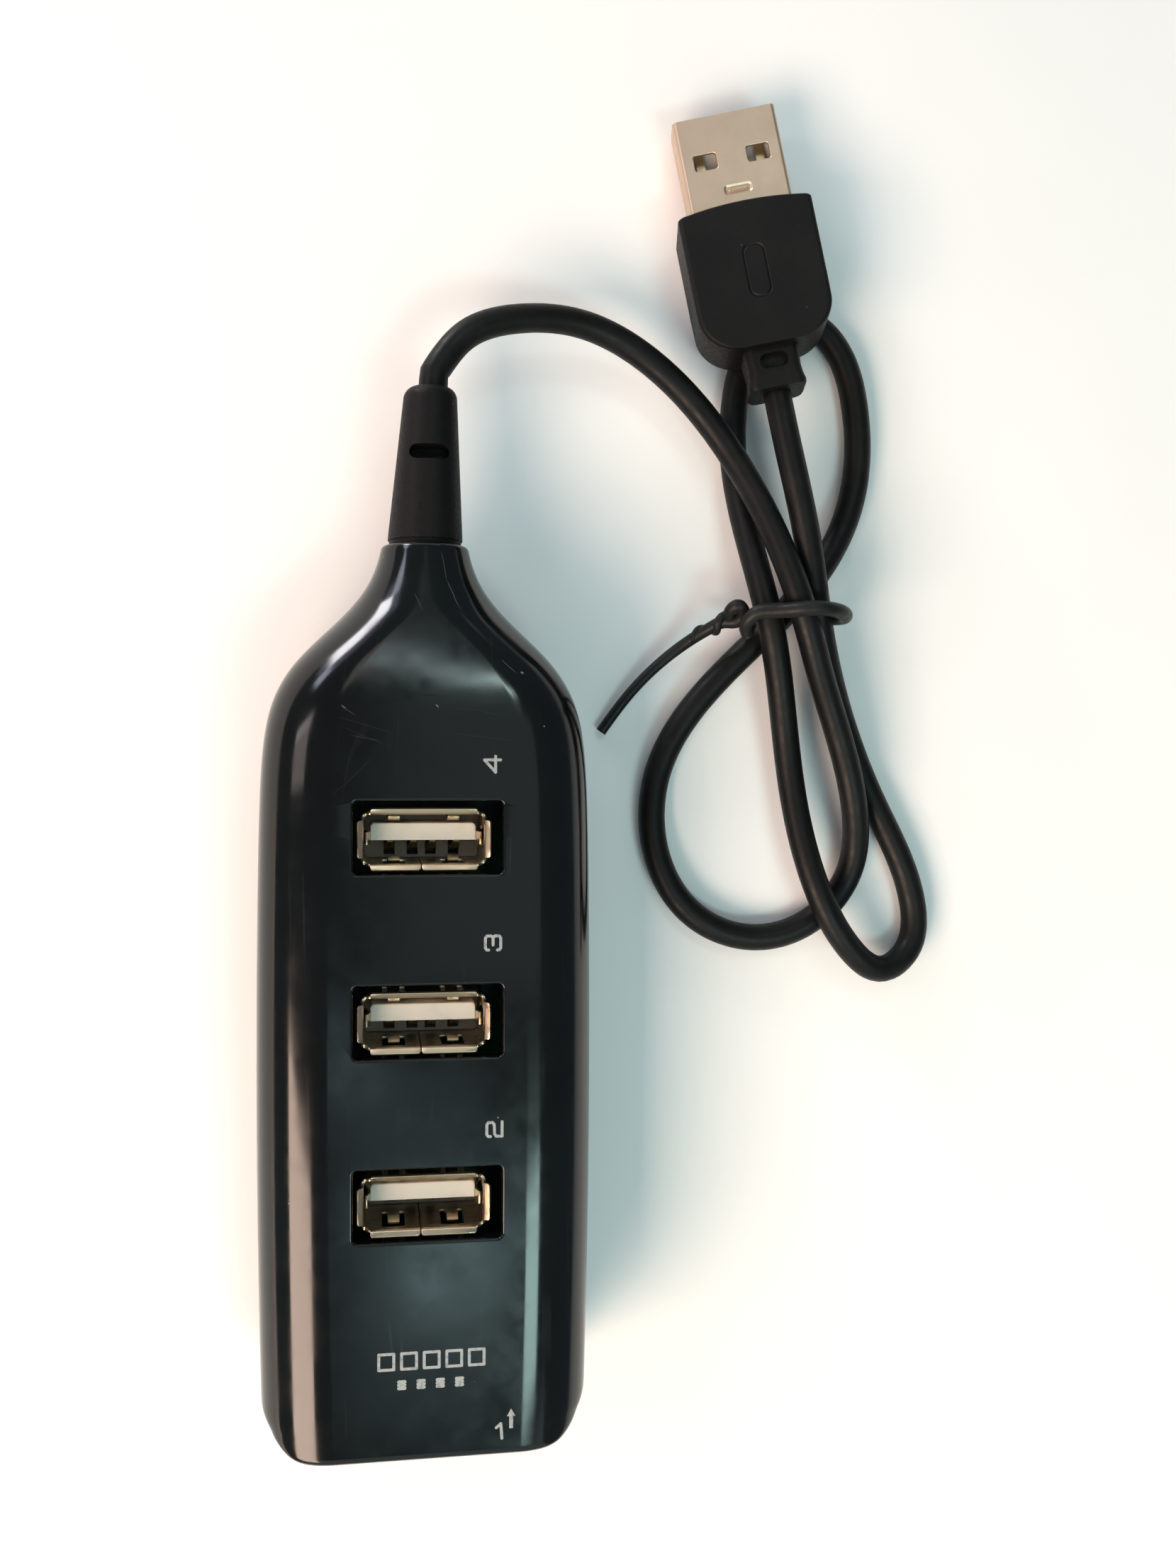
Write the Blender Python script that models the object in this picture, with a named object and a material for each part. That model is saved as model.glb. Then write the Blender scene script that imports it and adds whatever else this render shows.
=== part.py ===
"""Four-port USB hub with a short cord and plug, modelled as separate pieces.

Axes: +Z up, +Y towards the end of the case where the cord leaves, +X across the case.
Origin: on the surface the hub stands on, under the middle of the case and strain relief.
Lengths are in metres.
"""
import math

import bmesh
import bpy
import numpy as np

MM = 0.001
GAP = 0.3 * MM                      # clearance between pieces that touch

# Case
CASE_END_Y = -57.2 * MM             # flat end, with port 1 in it
NECK_MOUTH_Y = 39.8 * MM            # open end of the neck
CASE_HEIGHT = 21.0 * MM
CASE_HALF_WIDTH = 17.95 * MM        # at the widest place
WIDEST_Y = -18.0 * MM
BARREL = 0.37                       # how fast the sides pull in, per metre, away from WIDEST_Y
NECK_HALF_WIDTH = 4.1 * MM
NECK_HALF_HEIGHT = 4.4 * MM
NECK_START_Y = 30.0 * MM            # middle of the curve from body to neck
NECK_CURVE = 3.2 * MM               # length scale of that curve
WALL = 1.8 * MM
SHOULDER_WIDTH = 7.75 * MM          # rounding between the flat top and the sides
SHOULDER_DROP = 7.0 * MM
BASE_ROUND = 4.6 * MM               # rounding along the lower edges
CORNER_RADIUS = 5.5 * MM            # upright corners of the flat end
END_EDGE_ROUND = 0.8 * MM
MID_Z = CASE_HEIGHT / 2
NECK_BORE_RADIUS = 3.2 * MM
MOUTH_RECESS_RADIUS = 4.45 * MM
MOUTH_RECESS_DEPTH = 1.2 * MM
CAVITY_TOP_Y = 34.5 * MM            # where the hollow of the body stops in the neck

# Sockets
PORT_PITCH = 19.15 * MM
PORT_2_Y = -30.1 * MM
SOCKET_SHIFT_X = -0.4 * MM          # the board sits a little to the left of the cut-outs
SOCKET_SHIFT_Y = -0.2 * MM
MOUTH_DEPTH = 0.8 * MM              # socket mouths lie this far inside the case's surface
CUTOUT_WIDTH = 15.5 * MM
CUTOUT_HEIGHT = 7.62 * MM
CUTOUT_ROUND = 0.5 * MM
SHELL_WIDTH = 13.1 * MM
SHELL_HEIGHT = 5.72 * MM
SHELL_SHEET = 0.3 * MM
SHELL_ROUND = 0.9 * MM
SHELL_LENGTH = 14.3 * MM
LIP_RUN = 0.55 * MM                 # how far each flared lip leans out
LIP_RISE = 0.45 * MM
TONGUE_WIDTH = 11.1 * MM
TONGUE_THICK = 1.84 * MM
TONGUE_RECESS = 3.2 * MM
CONTACT_X = (-3.5 * MM, -1.0 * MM, 1.0 * MM, 3.5 * MM)

# Board and its parts
BOARD_Z = 4.4 * MM
BOARD_THICK = 1.2 * MM
BOARD_TOP = BOARD_Z + BOARD_THICK
BOARD_HALF_WIDTH = 13.2 * MM
SCREW_Y = (-20.5 * MM, 20.5 * MM)
BOSS_RADIUS = 2.9 * MM
PORT_1_Z = BOARD_TOP + GAP + SHELL_HEIGHT / 2

# Strain relief
RELIEF_END_Y = 57.2 * MM
RELIEF_RADIUS = 4.15 * MM
RELIEF_TAPER = 0.075
RELIEF_LEAN = 0.035                 # the sleeve leans slightly towards +X

# Cord and plug
CORD_RADIUS = 1.6 * MM
CORD_LOWEST = CORD_RADIUS + 0.05 * MM
PLUG_TIP = (34.83 * MM, 90.9 * MM, 3.8 * MM)
PLUG_TURN = math.radians(11.35)     # seen from above
PLUG_PITCH = math.radians(7.4)      # the tail lies on the cord, so it is the higher end
PLUG_ROLL = math.radians(9.5)       # the loop under the plug lifts its right side
PLUG_SHELL_WIDTH = 12.0 * MM
PLUG_SHELL_HEIGHT = 4.5 * MM
GRIP_FRONT = -11.4 * MM
GRIP_BACK = -28.4 * MM
GRIP_NECK_END = -33.1 * MM
GRIP_HALF_WIDTH = 7.75 * MM
GRIP_HALF_HEIGHT = 4.0 * MM

# The cord's route in millimetres: out of the sleeve in an arch, through the tie, round the left
# lower loop, back through the tie, round the top loop under the plug, through the tie again,
# round the right lower loop, and through the tie up to the plug.
CORD_ROUTE_MM = (
    (0.9, 57.55, 10.5), (1.0, 58.6, 10.5), (4.4, 62.9, 10.2), (10.6, 65.4, 9.0),
    (18.4, 65.6, 6.9), (28.1, 60.8, 5.2), (37.2, 49.6, 6.0), (43.7, 32.7, 9.7),
    (46.1, 26.3, 8.0), (49.7, 17.6, 5.6), (51.9, 9.5, 4.2), (51.8, 2.0, 1.9),
    (47.4, -3.3, 1.65), (39.8, -5.4, 1.65), (32.3, -2.3, 1.65), (27.8, 5.6, 1.65),
    (28.1, 14.6, 1.65), (38.3, 29.0, 3.1), (43.9, 34.6, 3.4), (49.0, 41.3, 2.9),
    (52.3, 49.9, 1.75), (52.2, 58.9, 1.65), (50.0, 65.5, 1.65), (46.0, 68.8, 1.65),
    (41.2, 67.9, 1.65), (37.8, 62.1, 1.65), (37.1, 52.0, 1.75), (40.5, 31.5, 6.9),
    (42.7, 21.4, 4.6), (44.4, 10.4, 4.2), (47.0, 0.4, 5.4), (51.2, -6.5, 4.7),
    (55.8, -9.3, 3.3), (59.7, -6.9, 2.0), (60.1, -0.6, 1.65), (55.0, 11.1, 1.65),
    (51.0, 20.2, 2.2), (46.4, 32.2, 6.6), (44.4, 41.6, 8.2), (41.47, 53.7, 8.65),
    (40.62, 58.46, 8.02),
)
CORD_SEGMENTS = 78

# The tie's route in millimetres: short end, over the bundle, under it, round the short end,
# and out along the tail.
TIE_RADIUS = 0.7 * MM
TIE_ROUTE_MM = (
    (35.9, 35.0, 6.9), (36.4, 33.7, 8.1), (37.7, 32.9, 8.9), (40.2, 33.1, 10.6),
    (43.6, 33.3, 12.3), (46.8, 33.3, 11.2), (48.9, 33.1, 8.4), (49.2, 33.0, 5.6),
    (47.0, 33.2, 2.9), (42.9, 33.4, 0.85), (39.5, 33.2, 2.1), (37.4, 32.9, 4.6),
    (36.1, 32.0, 6.2), (34.6, 32.4, 7.1), (34.1, 33.6, 6.2), (34.4, 33.0, 4.6),
    (32.2, 31.4, 3.6), (28.6, 28.7, 2.4), (24.6, 24.2, 1.5), (21.3, 19.6, 0.8),
)
TIE_SEGMENTS = 70


def clear_scene():
    """Remove whatever the file starts with."""
    for item in list(bpy.data.objects):
        bpy.data.objects.remove(item, do_unlink=True)


def make_material(name, colour, roughness, metallic=0.0):
    """A Principled material in one colour."""
    material = bpy.data.materials.new(name)
    material.use_nodes = True
    shader = material.node_tree.nodes["Principled BSDF"]
    shader.inputs["Base Color"].default_value = (*colour, 1.0)
    shader.inputs["Roughness"].default_value = roughness
    shader.inputs["Metallic"].default_value = metallic
    return material


def new_object(name, data, material=None):
    """Link an object for the given data, and give it its material."""
    item = bpy.data.objects.new(name, data)
    bpy.context.scene.collection.objects.link(item)
    if material:
        data.materials.append(material)
    return item


def finish_mesh(name, shape, smooth_angle=None):
    """Turn a bmesh into mesh data with its faces pointing out."""
    bmesh.ops.recalc_face_normals(shape, faces=shape.faces)
    data = bpy.data.meshes.new(name)
    shape.to_mesh(data)
    shape.free()
    if smooth_angle is not None:
        data.shade_smooth()
        data.set_sharp_from_angle(angle=smooth_angle)
    return data


def loft(name, rings, smooth_angle=None):
    """A closed solid through rings of points, each ring with the same number of points."""
    shape = bmesh.new()
    rows = [[shape.verts.new(point) for point in ring] for ring in rings]
    count = len(rows[0])
    for near, far in zip(rows, rows[1:]):
        for i in range(count):
            j = (i + 1) % count
            shape.faces.new((near[i], near[j], far[j], far[i]))
    shape.faces.new(rows[0])
    shape.faces.new(rows[-1])
    return finish_mesh(name, shape, smooth_angle)


def box(name, low, high):
    """A box between two corners."""
    ring = [(low[0], low[1]), (high[0], low[1]), (high[0], high[1]), (low[0], high[1])]
    return loft(name, [[(x, y, z) for x, y in ring] for z in (low[2], high[2])])


def rounded_rectangle(width, height, radius, steps=3):
    """Points of a rectangle with round corners, centred on the origin."""
    points = []
    for corner in range(4):
        sign_x = 1 if corner in (0, 3) else -1
        sign_y = 1 if corner in (0, 1) else -1
        centre = (sign_x * (width / 2 - radius), sign_y * (height / 2 - radius))
        for step in range(steps + 1):
            angle = math.pi / 2 * (corner + step / steps)
            points.append((centre[0] + radius * math.cos(angle),
                           centre[1] + radius * math.sin(angle)))
    return points


def circle(radius, count):
    """Points of a circle about the origin."""
    turn = 2 * math.pi / count
    return [(radius * math.cos(i * turn), radius * math.sin(i * turn)) for i in range(count)]


def cylinder_z(name, radius, low, high, count=24):
    """An upright cylinder on the origin's axis."""
    rings = [[(x, y, z) for x, y in circle(radius, count)] for z in (low, high)]
    return loft(name, rings, math.radians(40))


def cutter(name, data, location=(0, 0, 0), rotation=(0, 0, 0), parent=None):
    """A guide solid that only serves Boolean modifiers."""
    item = new_object(name, data)
    item.location = location
    item.rotation_euler = rotation
    item.parent = parent
    item.hide_render = True
    item.display_type = "WIRE"
    return item


def boolean(item, tool, operation="DIFFERENCE"):
    """Cut the tool out of an object, or join the tool to it."""
    modifier = item.modifiers.new(tool.name, "BOOLEAN")
    modifier.operation = operation
    modifier.solver = "EXACT"
    modifier.object = tool


def smooth_curve(points, count):
    """Points spaced evenly along the natural cubic spline through the given points."""
    points = np.array(points, dtype=float)
    steps = np.linalg.norm(np.diff(points, axis=0), axis=1)
    knots = np.concatenate([[0.0], np.cumsum(steps)])
    size = len(points)
    matrix = np.zeros((size, size))
    right = np.zeros((size, 3))
    matrix[0, 0] = 1.0
    matrix[-1, -1] = 1.0
    for i in range(1, size - 1):
        matrix[i, i - 1] = steps[i - 1]
        matrix[i, i] = 2 * (steps[i - 1] + steps[i])
        matrix[i, i + 1] = steps[i]
        right[i] = 6 * ((points[i + 1] - points[i]) / steps[i]
                        - (points[i] - points[i - 1]) / steps[i - 1])
    bend = np.linalg.solve(matrix, right)

    def at(value):
        i = min(max(int(np.searchsorted(knots, value, side="right")) - 1, 0), size - 2)
        span = steps[i]
        a = (knots[i + 1] - value) / span
        b = (value - knots[i]) / span
        pull = ((a ** 3 - a) * bend[i] + (b ** 3 - b) * bend[i + 1]) * span ** 2 / 6
        return a * points[i] + b * points[i + 1] + pull

    fine = np.array([at(value) for value in np.linspace(0, knots[-1], size * 40)])
    run = np.concatenate([[0.0], np.cumsum(np.linalg.norm(np.diff(fine, axis=0), axis=1))])
    wanted = np.linspace(0, run[-1], count)
    return np.column_stack([np.interp(wanted, run, fine[:, axis]) for axis in range(3)])


def tube(name, points, radius, material, resolution=2):
    """A round tube with closed ends along the given points."""
    data = bpy.data.curves.new(name, "CURVE")
    data.dimensions = "3D"
    data.bevel_depth = radius
    data.bevel_resolution = resolution
    data.use_fill_caps = True
    spline = data.splines.new("POLY")
    spline.points.add(len(points) - 1)
    for target, point in zip(spline.points, points):
        target.co = (*point, 1.0)
    return new_object(name, data, material)


def arc_inset(distance, radius):
    """How far a rounded corner pulls in at a distance from the end it rounds."""
    left = max(radius - max(distance, 0.0), 0.0)
    return radius - math.sqrt(radius ** 2 - left ** 2)


def neck_blend(y):
    """1 in the body of the case, falling to 0 in its neck."""
    return 1 / (1 + math.exp((y - NECK_START_Y) / NECK_CURVE))


def case_section(y, end_y, inset):
    """Outline of the case across Y, pulled in by inset, with the flat end at end_y."""
    blend = neck_blend(y)
    widest = CASE_HALF_WIDTH - BARREL * (y - WIDEST_Y) ** 2
    half_width = NECK_HALF_WIDTH + (widest - NECK_HALF_WIDTH) * blend
    half_height = NECK_HALF_HEIGHT + (MID_Z - NECK_HALF_HEIGHT) * blend
    shoulder = (min(half_width, SHOULDER_WIDTH), min(half_height, SHOULDER_DROP))
    base = (min(half_width, BASE_ROUND), min(half_height, BASE_ROUND))
    limit_x = half_width - inset - arc_inset(y - end_y, CORNER_RADIUS - inset)
    limit_z = half_height - inset - arc_inset(y - end_y, END_EDGE_ROUND)
    points = []
    for corner in range(4):
        sign_x = 1 if corner in (0, 3) else -1
        sign_z = 1 if corner in (0, 1) else -1
        wide, tall = shoulder if sign_z > 0 else base
        steps = 7 if sign_z > 0 else 4
        for step in range(steps + 1):
            angle = math.pi / 2 * (corner + step / steps)
            x = sign_x * (half_width - wide) + (wide - inset) * math.cos(angle)
            z = sign_z * (half_height - tall) + (tall - inset) * math.sin(angle)
            x = max(-limit_x, min(limit_x, x))
            z = max(-limit_z, min(limit_z, z))
            points.append((x, y, MID_Z + z))
    return points


def case_solid(name, end_y, top_y, inset):
    """The case as one solid, or its hollow when inset is the wall's thickness."""
    near_end = (0.0, 0.1, 0.3, 0.8, 1.6, 2.7, 4.0, 5.5)
    body = (-40.0, -25.0, -10.0, 5.0, 12.0, 16.0, 19.0, 21.5, 24.0, 26.5, 29.0, 31.5, 34.0, 36.7)
    stations = [end_y + d * MM for d in near_end]
    stations += [y * MM for y in body if y * MM < top_y - 0.1 * MM]
    stations.append(top_y)
    return loft(name, [case_section(y, end_y, inset) for y in stations], math.radians(32))


def build_case(gloss_black):
    """Upper and lower shell, parted at mid height, with screw bosses and board rests."""
    end_inner = CASE_END_Y + WALL
    hollow = cutter("case_hollow", case_solid("case_hollow", end_inner, CAVITY_TOP_Y, WALL))
    along_y = (math.radians(-90), 0, 0)
    bore = cutter("neck_bore", cylinder_z("neck_bore", NECK_BORE_RADIUS, 0, 9 * MM),
                  (0, CAVITY_TOP_Y - MM, MID_Z), along_y)
    recess = cutter("neck_recess", cylinder_z("neck_recess", MOUTH_RECESS_RADIUS, 0, 4 * MM),
                    (0, NECK_MOUTH_Y - MOUTH_RECESS_DEPTH, MID_Z), along_y)
    size = 80 * MM
    lower_half = cutter("below_seam", box("below_seam", (-size, -size, -size),
                                          (size, size, MID_Z + GAP / 2)))
    upper_half = cutter("above_seam", box("above_seam", (-size, -size, MID_Z - GAP / 2),
                                          (size, size, size)))
    outline = rounded_rectangle(CUTOUT_WIDTH, CUTOUT_HEIGHT, CUTOUT_ROUND)
    window = loft("cutout", [[(x, y, z) for x, y in outline] for z in (-4 * MM, 4 * MM)])
    end_window = cutter("port_1_cutout", window, (0, CASE_END_Y, PORT_1_Z), (math.radians(90), 0, 0))

    top = new_object("case_top", case_solid("case_top", CASE_END_Y, NECK_MOUTH_Y, 0.0), gloss_black)
    bottom = new_object("case_bottom", top.data.copy())
    for shell, other_half in ((top, lower_half), (bottom, upper_half)):
        for tool in (hollow, other_half, bore, recess, end_window):
            boolean(shell, tool)
    for number in (2, 3, 4):
        place = (0, port_y(number), CASE_HEIGHT)
        boolean(top, cutter(f"port_{number}_cutout", window, place))

    for index, y in enumerate(SCREW_Y, start=1):
        post = cylinder_z("screw_post", BOSS_RADIUS - GAP, MID_Z + GAP, CASE_HEIGHT - WALL / 2)
        boolean(top, cutter(f"screw_post_{index}", post, (0, y, 0)), "UNION")
        pilot = cylinder_z("pilot_hole", 1.2 * MM, MID_Z - MM, CASE_HEIGHT - 3.5 * MM)
        boolean(top, cutter(f"pilot_hole_{index}", pilot, (0, y, 0)))
        boss = cylinder_z("screw_boss", BOSS_RADIUS, WALL / 2, MID_Z - GAP)
        boolean(bottom, cutter(f"screw_boss_{index}", boss, (0, y, 0)), "UNION")
        hole = cylinder_z("screw_hole", 1.3 * MM, -MM, MID_Z + MM)
        boolean(bottom, cutter(f"screw_hole_{index}", hole, (0, y, 0)))
        sink = cylinder_z("screw_sink", 2.35 * MM, -MM, 2.2 * MM)
        boolean(bottom, cutter(f"screw_sink_{index}", sink, (0, y, 0)))
    for index, (x, y) in enumerate(((-11, -44), (11, -44), (-11, 12), (11, 12)), start=1):
        rest = cylinder_z("board_rest", 1.5 * MM, WALL / 2, BOARD_Z - GAP, 12)
        boolean(bottom, cutter(f"board_rest_{index}", rest, (x * MM, y * MM, 0)), "UNION")


def build_screws(steel):
    """Two cross-headed screws, each from below into a post of the upper shell."""
    head_radius = 2.0 * MM
    shaft_radius = 0.9 * MM
    head_low = 0.6 * MM
    head_high = 1.9 * MM
    tip = 15.0 * MM
    for index, y in enumerate(SCREW_Y, start=1):
        profile = ((head_radius - 0.3 * MM, head_low), (head_radius, head_low + 0.4 * MM),
                   (head_radius, head_high), (shaft_radius, head_high),
                   (shaft_radius, tip - MM), (0.3 * MM, tip))
        rings = [[(px, py, z) for px, py in circle(radius, 20)] for radius, z in profile]
        screw = new_object(f"case_screw_{index}", loft("case_screw", rings, math.radians(40)), steel)
        screw.location = (0, y, 0)
        for turn in (0, 90):
            slot = box("driver_slot", (-1.3 * MM, -0.25 * MM, 0), (1.3 * MM, 0.25 * MM, 1.2 * MM))
            tool = cutter(f"driver_slot_{index}_{turn}", slot, (0, y, 0), (0, 0, math.radians(turn)))
            boolean(screw, tool)


def port_y(number):
    """Y of the middle of a cut-out in the top, for ports 2 to 4."""
    return PORT_2_Y + (number - 2) * PORT_PITCH


def port_frame(number):
    """Where a socket's mouth is and how it is turned; port 1 faces out of the flat end."""
    if number == 1:
        place = (SOCKET_SHIFT_X, CASE_END_Y + MOUTH_DEPTH, PORT_1_Z)
        return place, (math.radians(90), 0, 0)
    return (SOCKET_SHIFT_X, port_y(number) + SOCKET_SHIFT_Y, CASE_HEIGHT - MOUTH_DEPTH), (0, 0, 0)


def socket_outline(inset):
    """Outline of a socket shell: round corners, and straight sides divided where lips start."""
    half_x = SHELL_WIDTH / 2 - inset
    half_y = SHELL_HEIGHT / 2 - inset
    radius = SHELL_ROUND - inset
    lip_x = SHELL_WIDTH / 2 - 1.35 * MM
    lip_y = SHELL_HEIGHT / 2 - 1.25 * MM
    seam = 0.1 * MM
    points = []
    for corner in range(4):
        sign_x = 1 if corner in (0, 3) else -1
        sign_y = 1 if corner in (0, 1) else -1
        before_side = corner in (0, 2)
        on_side = (sign_x * half_x, sign_y * lip_y)
        on_flat = (sign_x * lip_x, sign_y * half_y)
        arc = []
        for step in range(4):
            angle = math.pi / 2 * (corner + step / 3)
            arc.append((sign_x * (half_x - radius) + radius * math.cos(angle),
                        sign_y * (half_y - radius) + radius * math.sin(angle)))
        points += [on_side if before_side else on_flat] + arc
        points.append(on_flat if before_side else on_side)
        if corner == 2:
            points += [(-seam, -half_y), (seam, -half_y)]
    return points


def build_socket_shell(number, nickel):
    """A folded metal shell: an open tube with a flared lip on each side of its mouth."""
    outer = socket_outline(0.0)
    inner = socket_outline(SHELL_SHEET)
    count = len(outer)
    shape = bmesh.new()

    def ring(points, z):
        return [shape.verts.new((x, y, z)) for x, y in points]

    loops = [ring(outer, -SHELL_LENGTH), ring(outer, -LIP_RISE),
             ring(inner, -LIP_RISE), ring(inner, -SHELL_LENGTH)]
    rim = []
    for index, near in enumerate(loops):
        far = loops[(index + 1) % len(loops)]
        for i in range(count):
            j = (i + 1) % count
            face = shape.faces.new((near[i], near[j], far[j], far[i]))
            if index == 1:
                rim.append(face)
    lips = []
    for face in rim:
        middle = face.calc_center_median()
        on_flat = abs(abs(middle.y) - (SHELL_HEIGHT - SHELL_SHEET) / 2) < 0.02 * MM
        on_side = abs(abs(middle.x) - (SHELL_WIDTH - SHELL_SHEET) / 2) < 0.02 * MM
        wide = max(edge.calc_length() for edge in face.edges) > 2 * MM
        if (on_flat or on_side) and wide:
            lips.append((face, on_flat))
    for face, on_flat in lips:
        middle = face.calc_center_median()
        grown = bmesh.ops.extrude_discrete_faces(shape, faces=[face])["faces"][0]
        shift_x = 0.0 if on_flat else math.copysign(LIP_RUN, middle.x)
        shift_y = math.copysign(LIP_RUN, middle.y) if on_flat else 0.0
        bmesh.ops.translate(shape, verts=grown.verts, vec=(shift_x, shift_y, LIP_RISE))
    item = new_object(f"port_{number}_shell", finish_mesh("socket_shell", shape), nickel)
    item.location, item.rotation_euler = port_frame(number)


def build_socket_inside(number, white_plastic, contact_metal):
    """The plastic base and tongue of a socket, with its four contact strips."""
    place, turn = port_frame(number)
    inner_half = SHELL_HEIGHT / 2 - SHELL_SHEET
    base_x = SHELL_WIDTH / 2 - SHELL_SHEET - GAP
    base_y = inner_half - GAP
    tongue_high = inner_half - 0.64 * MM
    tongue_low = tongue_high - TONGUE_THICK
    base_top = -11.3 * MM
    levels = ((-SHELL_LENGTH + GAP, base_x, -base_y, base_y),
              (base_top, base_x, -base_y, base_y),
              (base_top, TONGUE_WIDTH / 2, tongue_low, tongue_high),
              (-TONGUE_RECESS - 0.2 * MM, TONGUE_WIDTH / 2, tongue_low, tongue_high),
              (-TONGUE_RECESS, TONGUE_WIDTH / 2 - 0.2 * MM, tongue_low + 0.2 * MM,
               tongue_high - 0.2 * MM))
    rings = [[(-x, low, z), (x, low, z), (x, high, z), (-x, high, z)] for z, x, low, high in levels]
    tongue = new_object(f"port_{number}_tongue", loft("socket_tongue", rings), white_plastic)
    tongue.location, tongue.rotation_euler = place, turn
    for index, x in enumerate(CONTACT_X, start=1):
        low = (x - 0.5 * MM, tongue_low - GAP - 0.25 * MM, base_top + GAP)
        high = (x + 0.5 * MM, tongue_low - GAP, -TONGUE_RECESS - MM)
        strip = new_object(f"port_{number}_contact_{index}", box("socket_contact", low, high),
                           contact_metal)
        strip.location, strip.rotation_euler = place, turn


def build_board(board_green):
    """The circuit board, cut in towards the neck and at the end corners."""
    end_y = CASE_END_Y + WALL + GAP
    half = BOARD_HALF_WIDTH
    outline = ((-half, 17 * MM), (-half, end_y + 4 * MM), (-half + 4 * MM, end_y),
               (half - 4 * MM, end_y), (half, end_y + 4 * MM), (half, 17 * MM),
               (7 * MM, 26 * MM), (-7 * MM, 26 * MM))
    data = loft("circuit_board", [[(x, y, z) for x, y in outline] for z in (BOARD_Z, BOARD_TOP)])
    board = new_object("circuit_board", data, board_green)
    for index, y in enumerate(SCREW_Y, start=1):
        hole = cylinder_z("board_hole", BOSS_RADIUS + GAP, 0, 2 * BOARD_TOP)
        boolean(board, cutter(f"board_hole_{index}", hole, (0, y, 0)))


def build_board_parts(black_plastic, bright_metal, ceramic, sleeve_black):
    """Hub chip, clock crystal and capacitors, standing on the board between the sockets."""
    stand = BOARD_TOP + GAP

    def block(name, x, y, width, depth, height, radius, material):
        outline = rounded_rectangle(width * MM, depth * MM, radius * MM)
        rings = [[(px, py, z) for px, py in outline] for z in (0, height * MM)]
        item = new_object(name, loft(name, rings, math.radians(50)), material)
        item.location = (x * MM, y * MM, stand)

    block("hub_controller", 0, -1.3, 10.0, 6.0, 1.5, 0.2, black_plastic)
    block("crystal", -7.6, 17.0, 10.4, 4.2, 3.4, 2.0, bright_metal)
    block("ceramic_capacitor_1", -9.6, -1.3, 1.6, 3.2, 1.2, 0.1, ceramic)
    block("ceramic_capacitor_2", 9.6, -1.3, 1.6, 3.2, 1.2, 0.1, ceramic)
    profile = ((2.9, 0.0), (3.15, 0.3), (3.15, 1.0), (2.95, 1.3), (3.15, 1.6), (3.15, 7.3), (2.8, 7.6))
    rings = [[(x, y, z * MM) for x, y in circle(radius * MM, 20)] for radius, z in profile]
    can = new_object("electrolytic_capacitor", loft("can", rings, math.radians(30)), sleeve_black)
    can.location = (8.4 * MM, 17.2 * MM, stand)


def build_wires(insulation):
    """The cord's four cores, from the strain relief down to the board."""
    for index, (name, material) in enumerate(insulation.items()):
        side = index - 1.5
        route = ((side * 1.25, 30.3, 10.5), (side * 1.3, 29.2, 10.2), (side * 1.5, 27.9, 9.0),
                 (side * 1.7, 26.9, 7.6), (side * 1.8, 25.6, 6.7), (side * 1.8, 24.2, 6.5))
        tube(f"wire_{name}", smooth_curve(np.array(route) * MM, 9), 0.45 * MM, material)


def build_strain_relief(rubber):
    """A tapered sleeve: flange inside the case, shank through the neck, body outside."""
    profile = [(30.6, 3.9), (32.4, 3.9), (32.4, 2.85), (38.95, 2.85), (38.95, 4.15)]
    for y in (39.8, 44.0, 48.0, 52.0, 55.4):
        profile.append((y, (RELIEF_RADIUS - RELIEF_TAPER * (y * MM - NECK_MOUTH_Y)) / MM))
    profile += [(56.4, 2.65), (56.95, 2.2), (RELIEF_END_Y / MM, 1.6)]
    rings = []
    for y, radius in profile:
        lean = RELIEF_LEAN * max(y * MM - NECK_MOUTH_Y, 0.0)
        ring = circle(radius * MM, 24)
        rings.append([(x + lean, y * MM, MID_Z + z) for x, z in ring])
    relief = new_object("strain_relief", loft("strain_relief", rings, math.radians(35)), rubber)
    outline = rounded_rectangle(4.3 * MM, 1.6 * MM, 0.75 * MM)
    slot = loft("relief_slot", [[(x, y, z) for x, y in outline] for z in (-2 * MM, 2 * MM)])
    for side in (-1, 1):
        place = (0.35 * MM, 49.4 * MM, MID_Z + side * 4.2 * MM)
        boolean(relief, cutter(f"relief_slot_{side}", slot, place))


def build_cord(cord_black):
    """The free cord: straight out of the strain relief, then smoothly on to the plug."""
    route = np.array(CORD_ROUTE_MM) * MM
    points = np.vstack([route[:1], smooth_curve(route[1:], CORD_SEGMENTS)])
    points[:, 2] = np.maximum(points[:, 2], CORD_LOWEST)
    tube("cord", points, CORD_RADIUS, cord_black)


def build_tie(tie_black):
    """The plastic-covered wire tie round the bundle, twisted once, with a long tail."""
    points = smooth_curve(np.array(TIE_ROUTE_MM) * MM, TIE_SEGMENTS)
    points[:, 2] = np.maximum(points[:, 2], TIE_RADIUS + 0.05 * MM)
    tube("twist_tie", points, TIE_RADIUS, tie_black)


def grip_ring(y, half_width, top, bottom, radius):
    """Outline across the plug's grip at y."""
    outline = rounded_rectangle(2 * half_width, top + bottom, radius)
    return [(x, y, z + (top - bottom) / 2) for x, z in outline]


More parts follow.
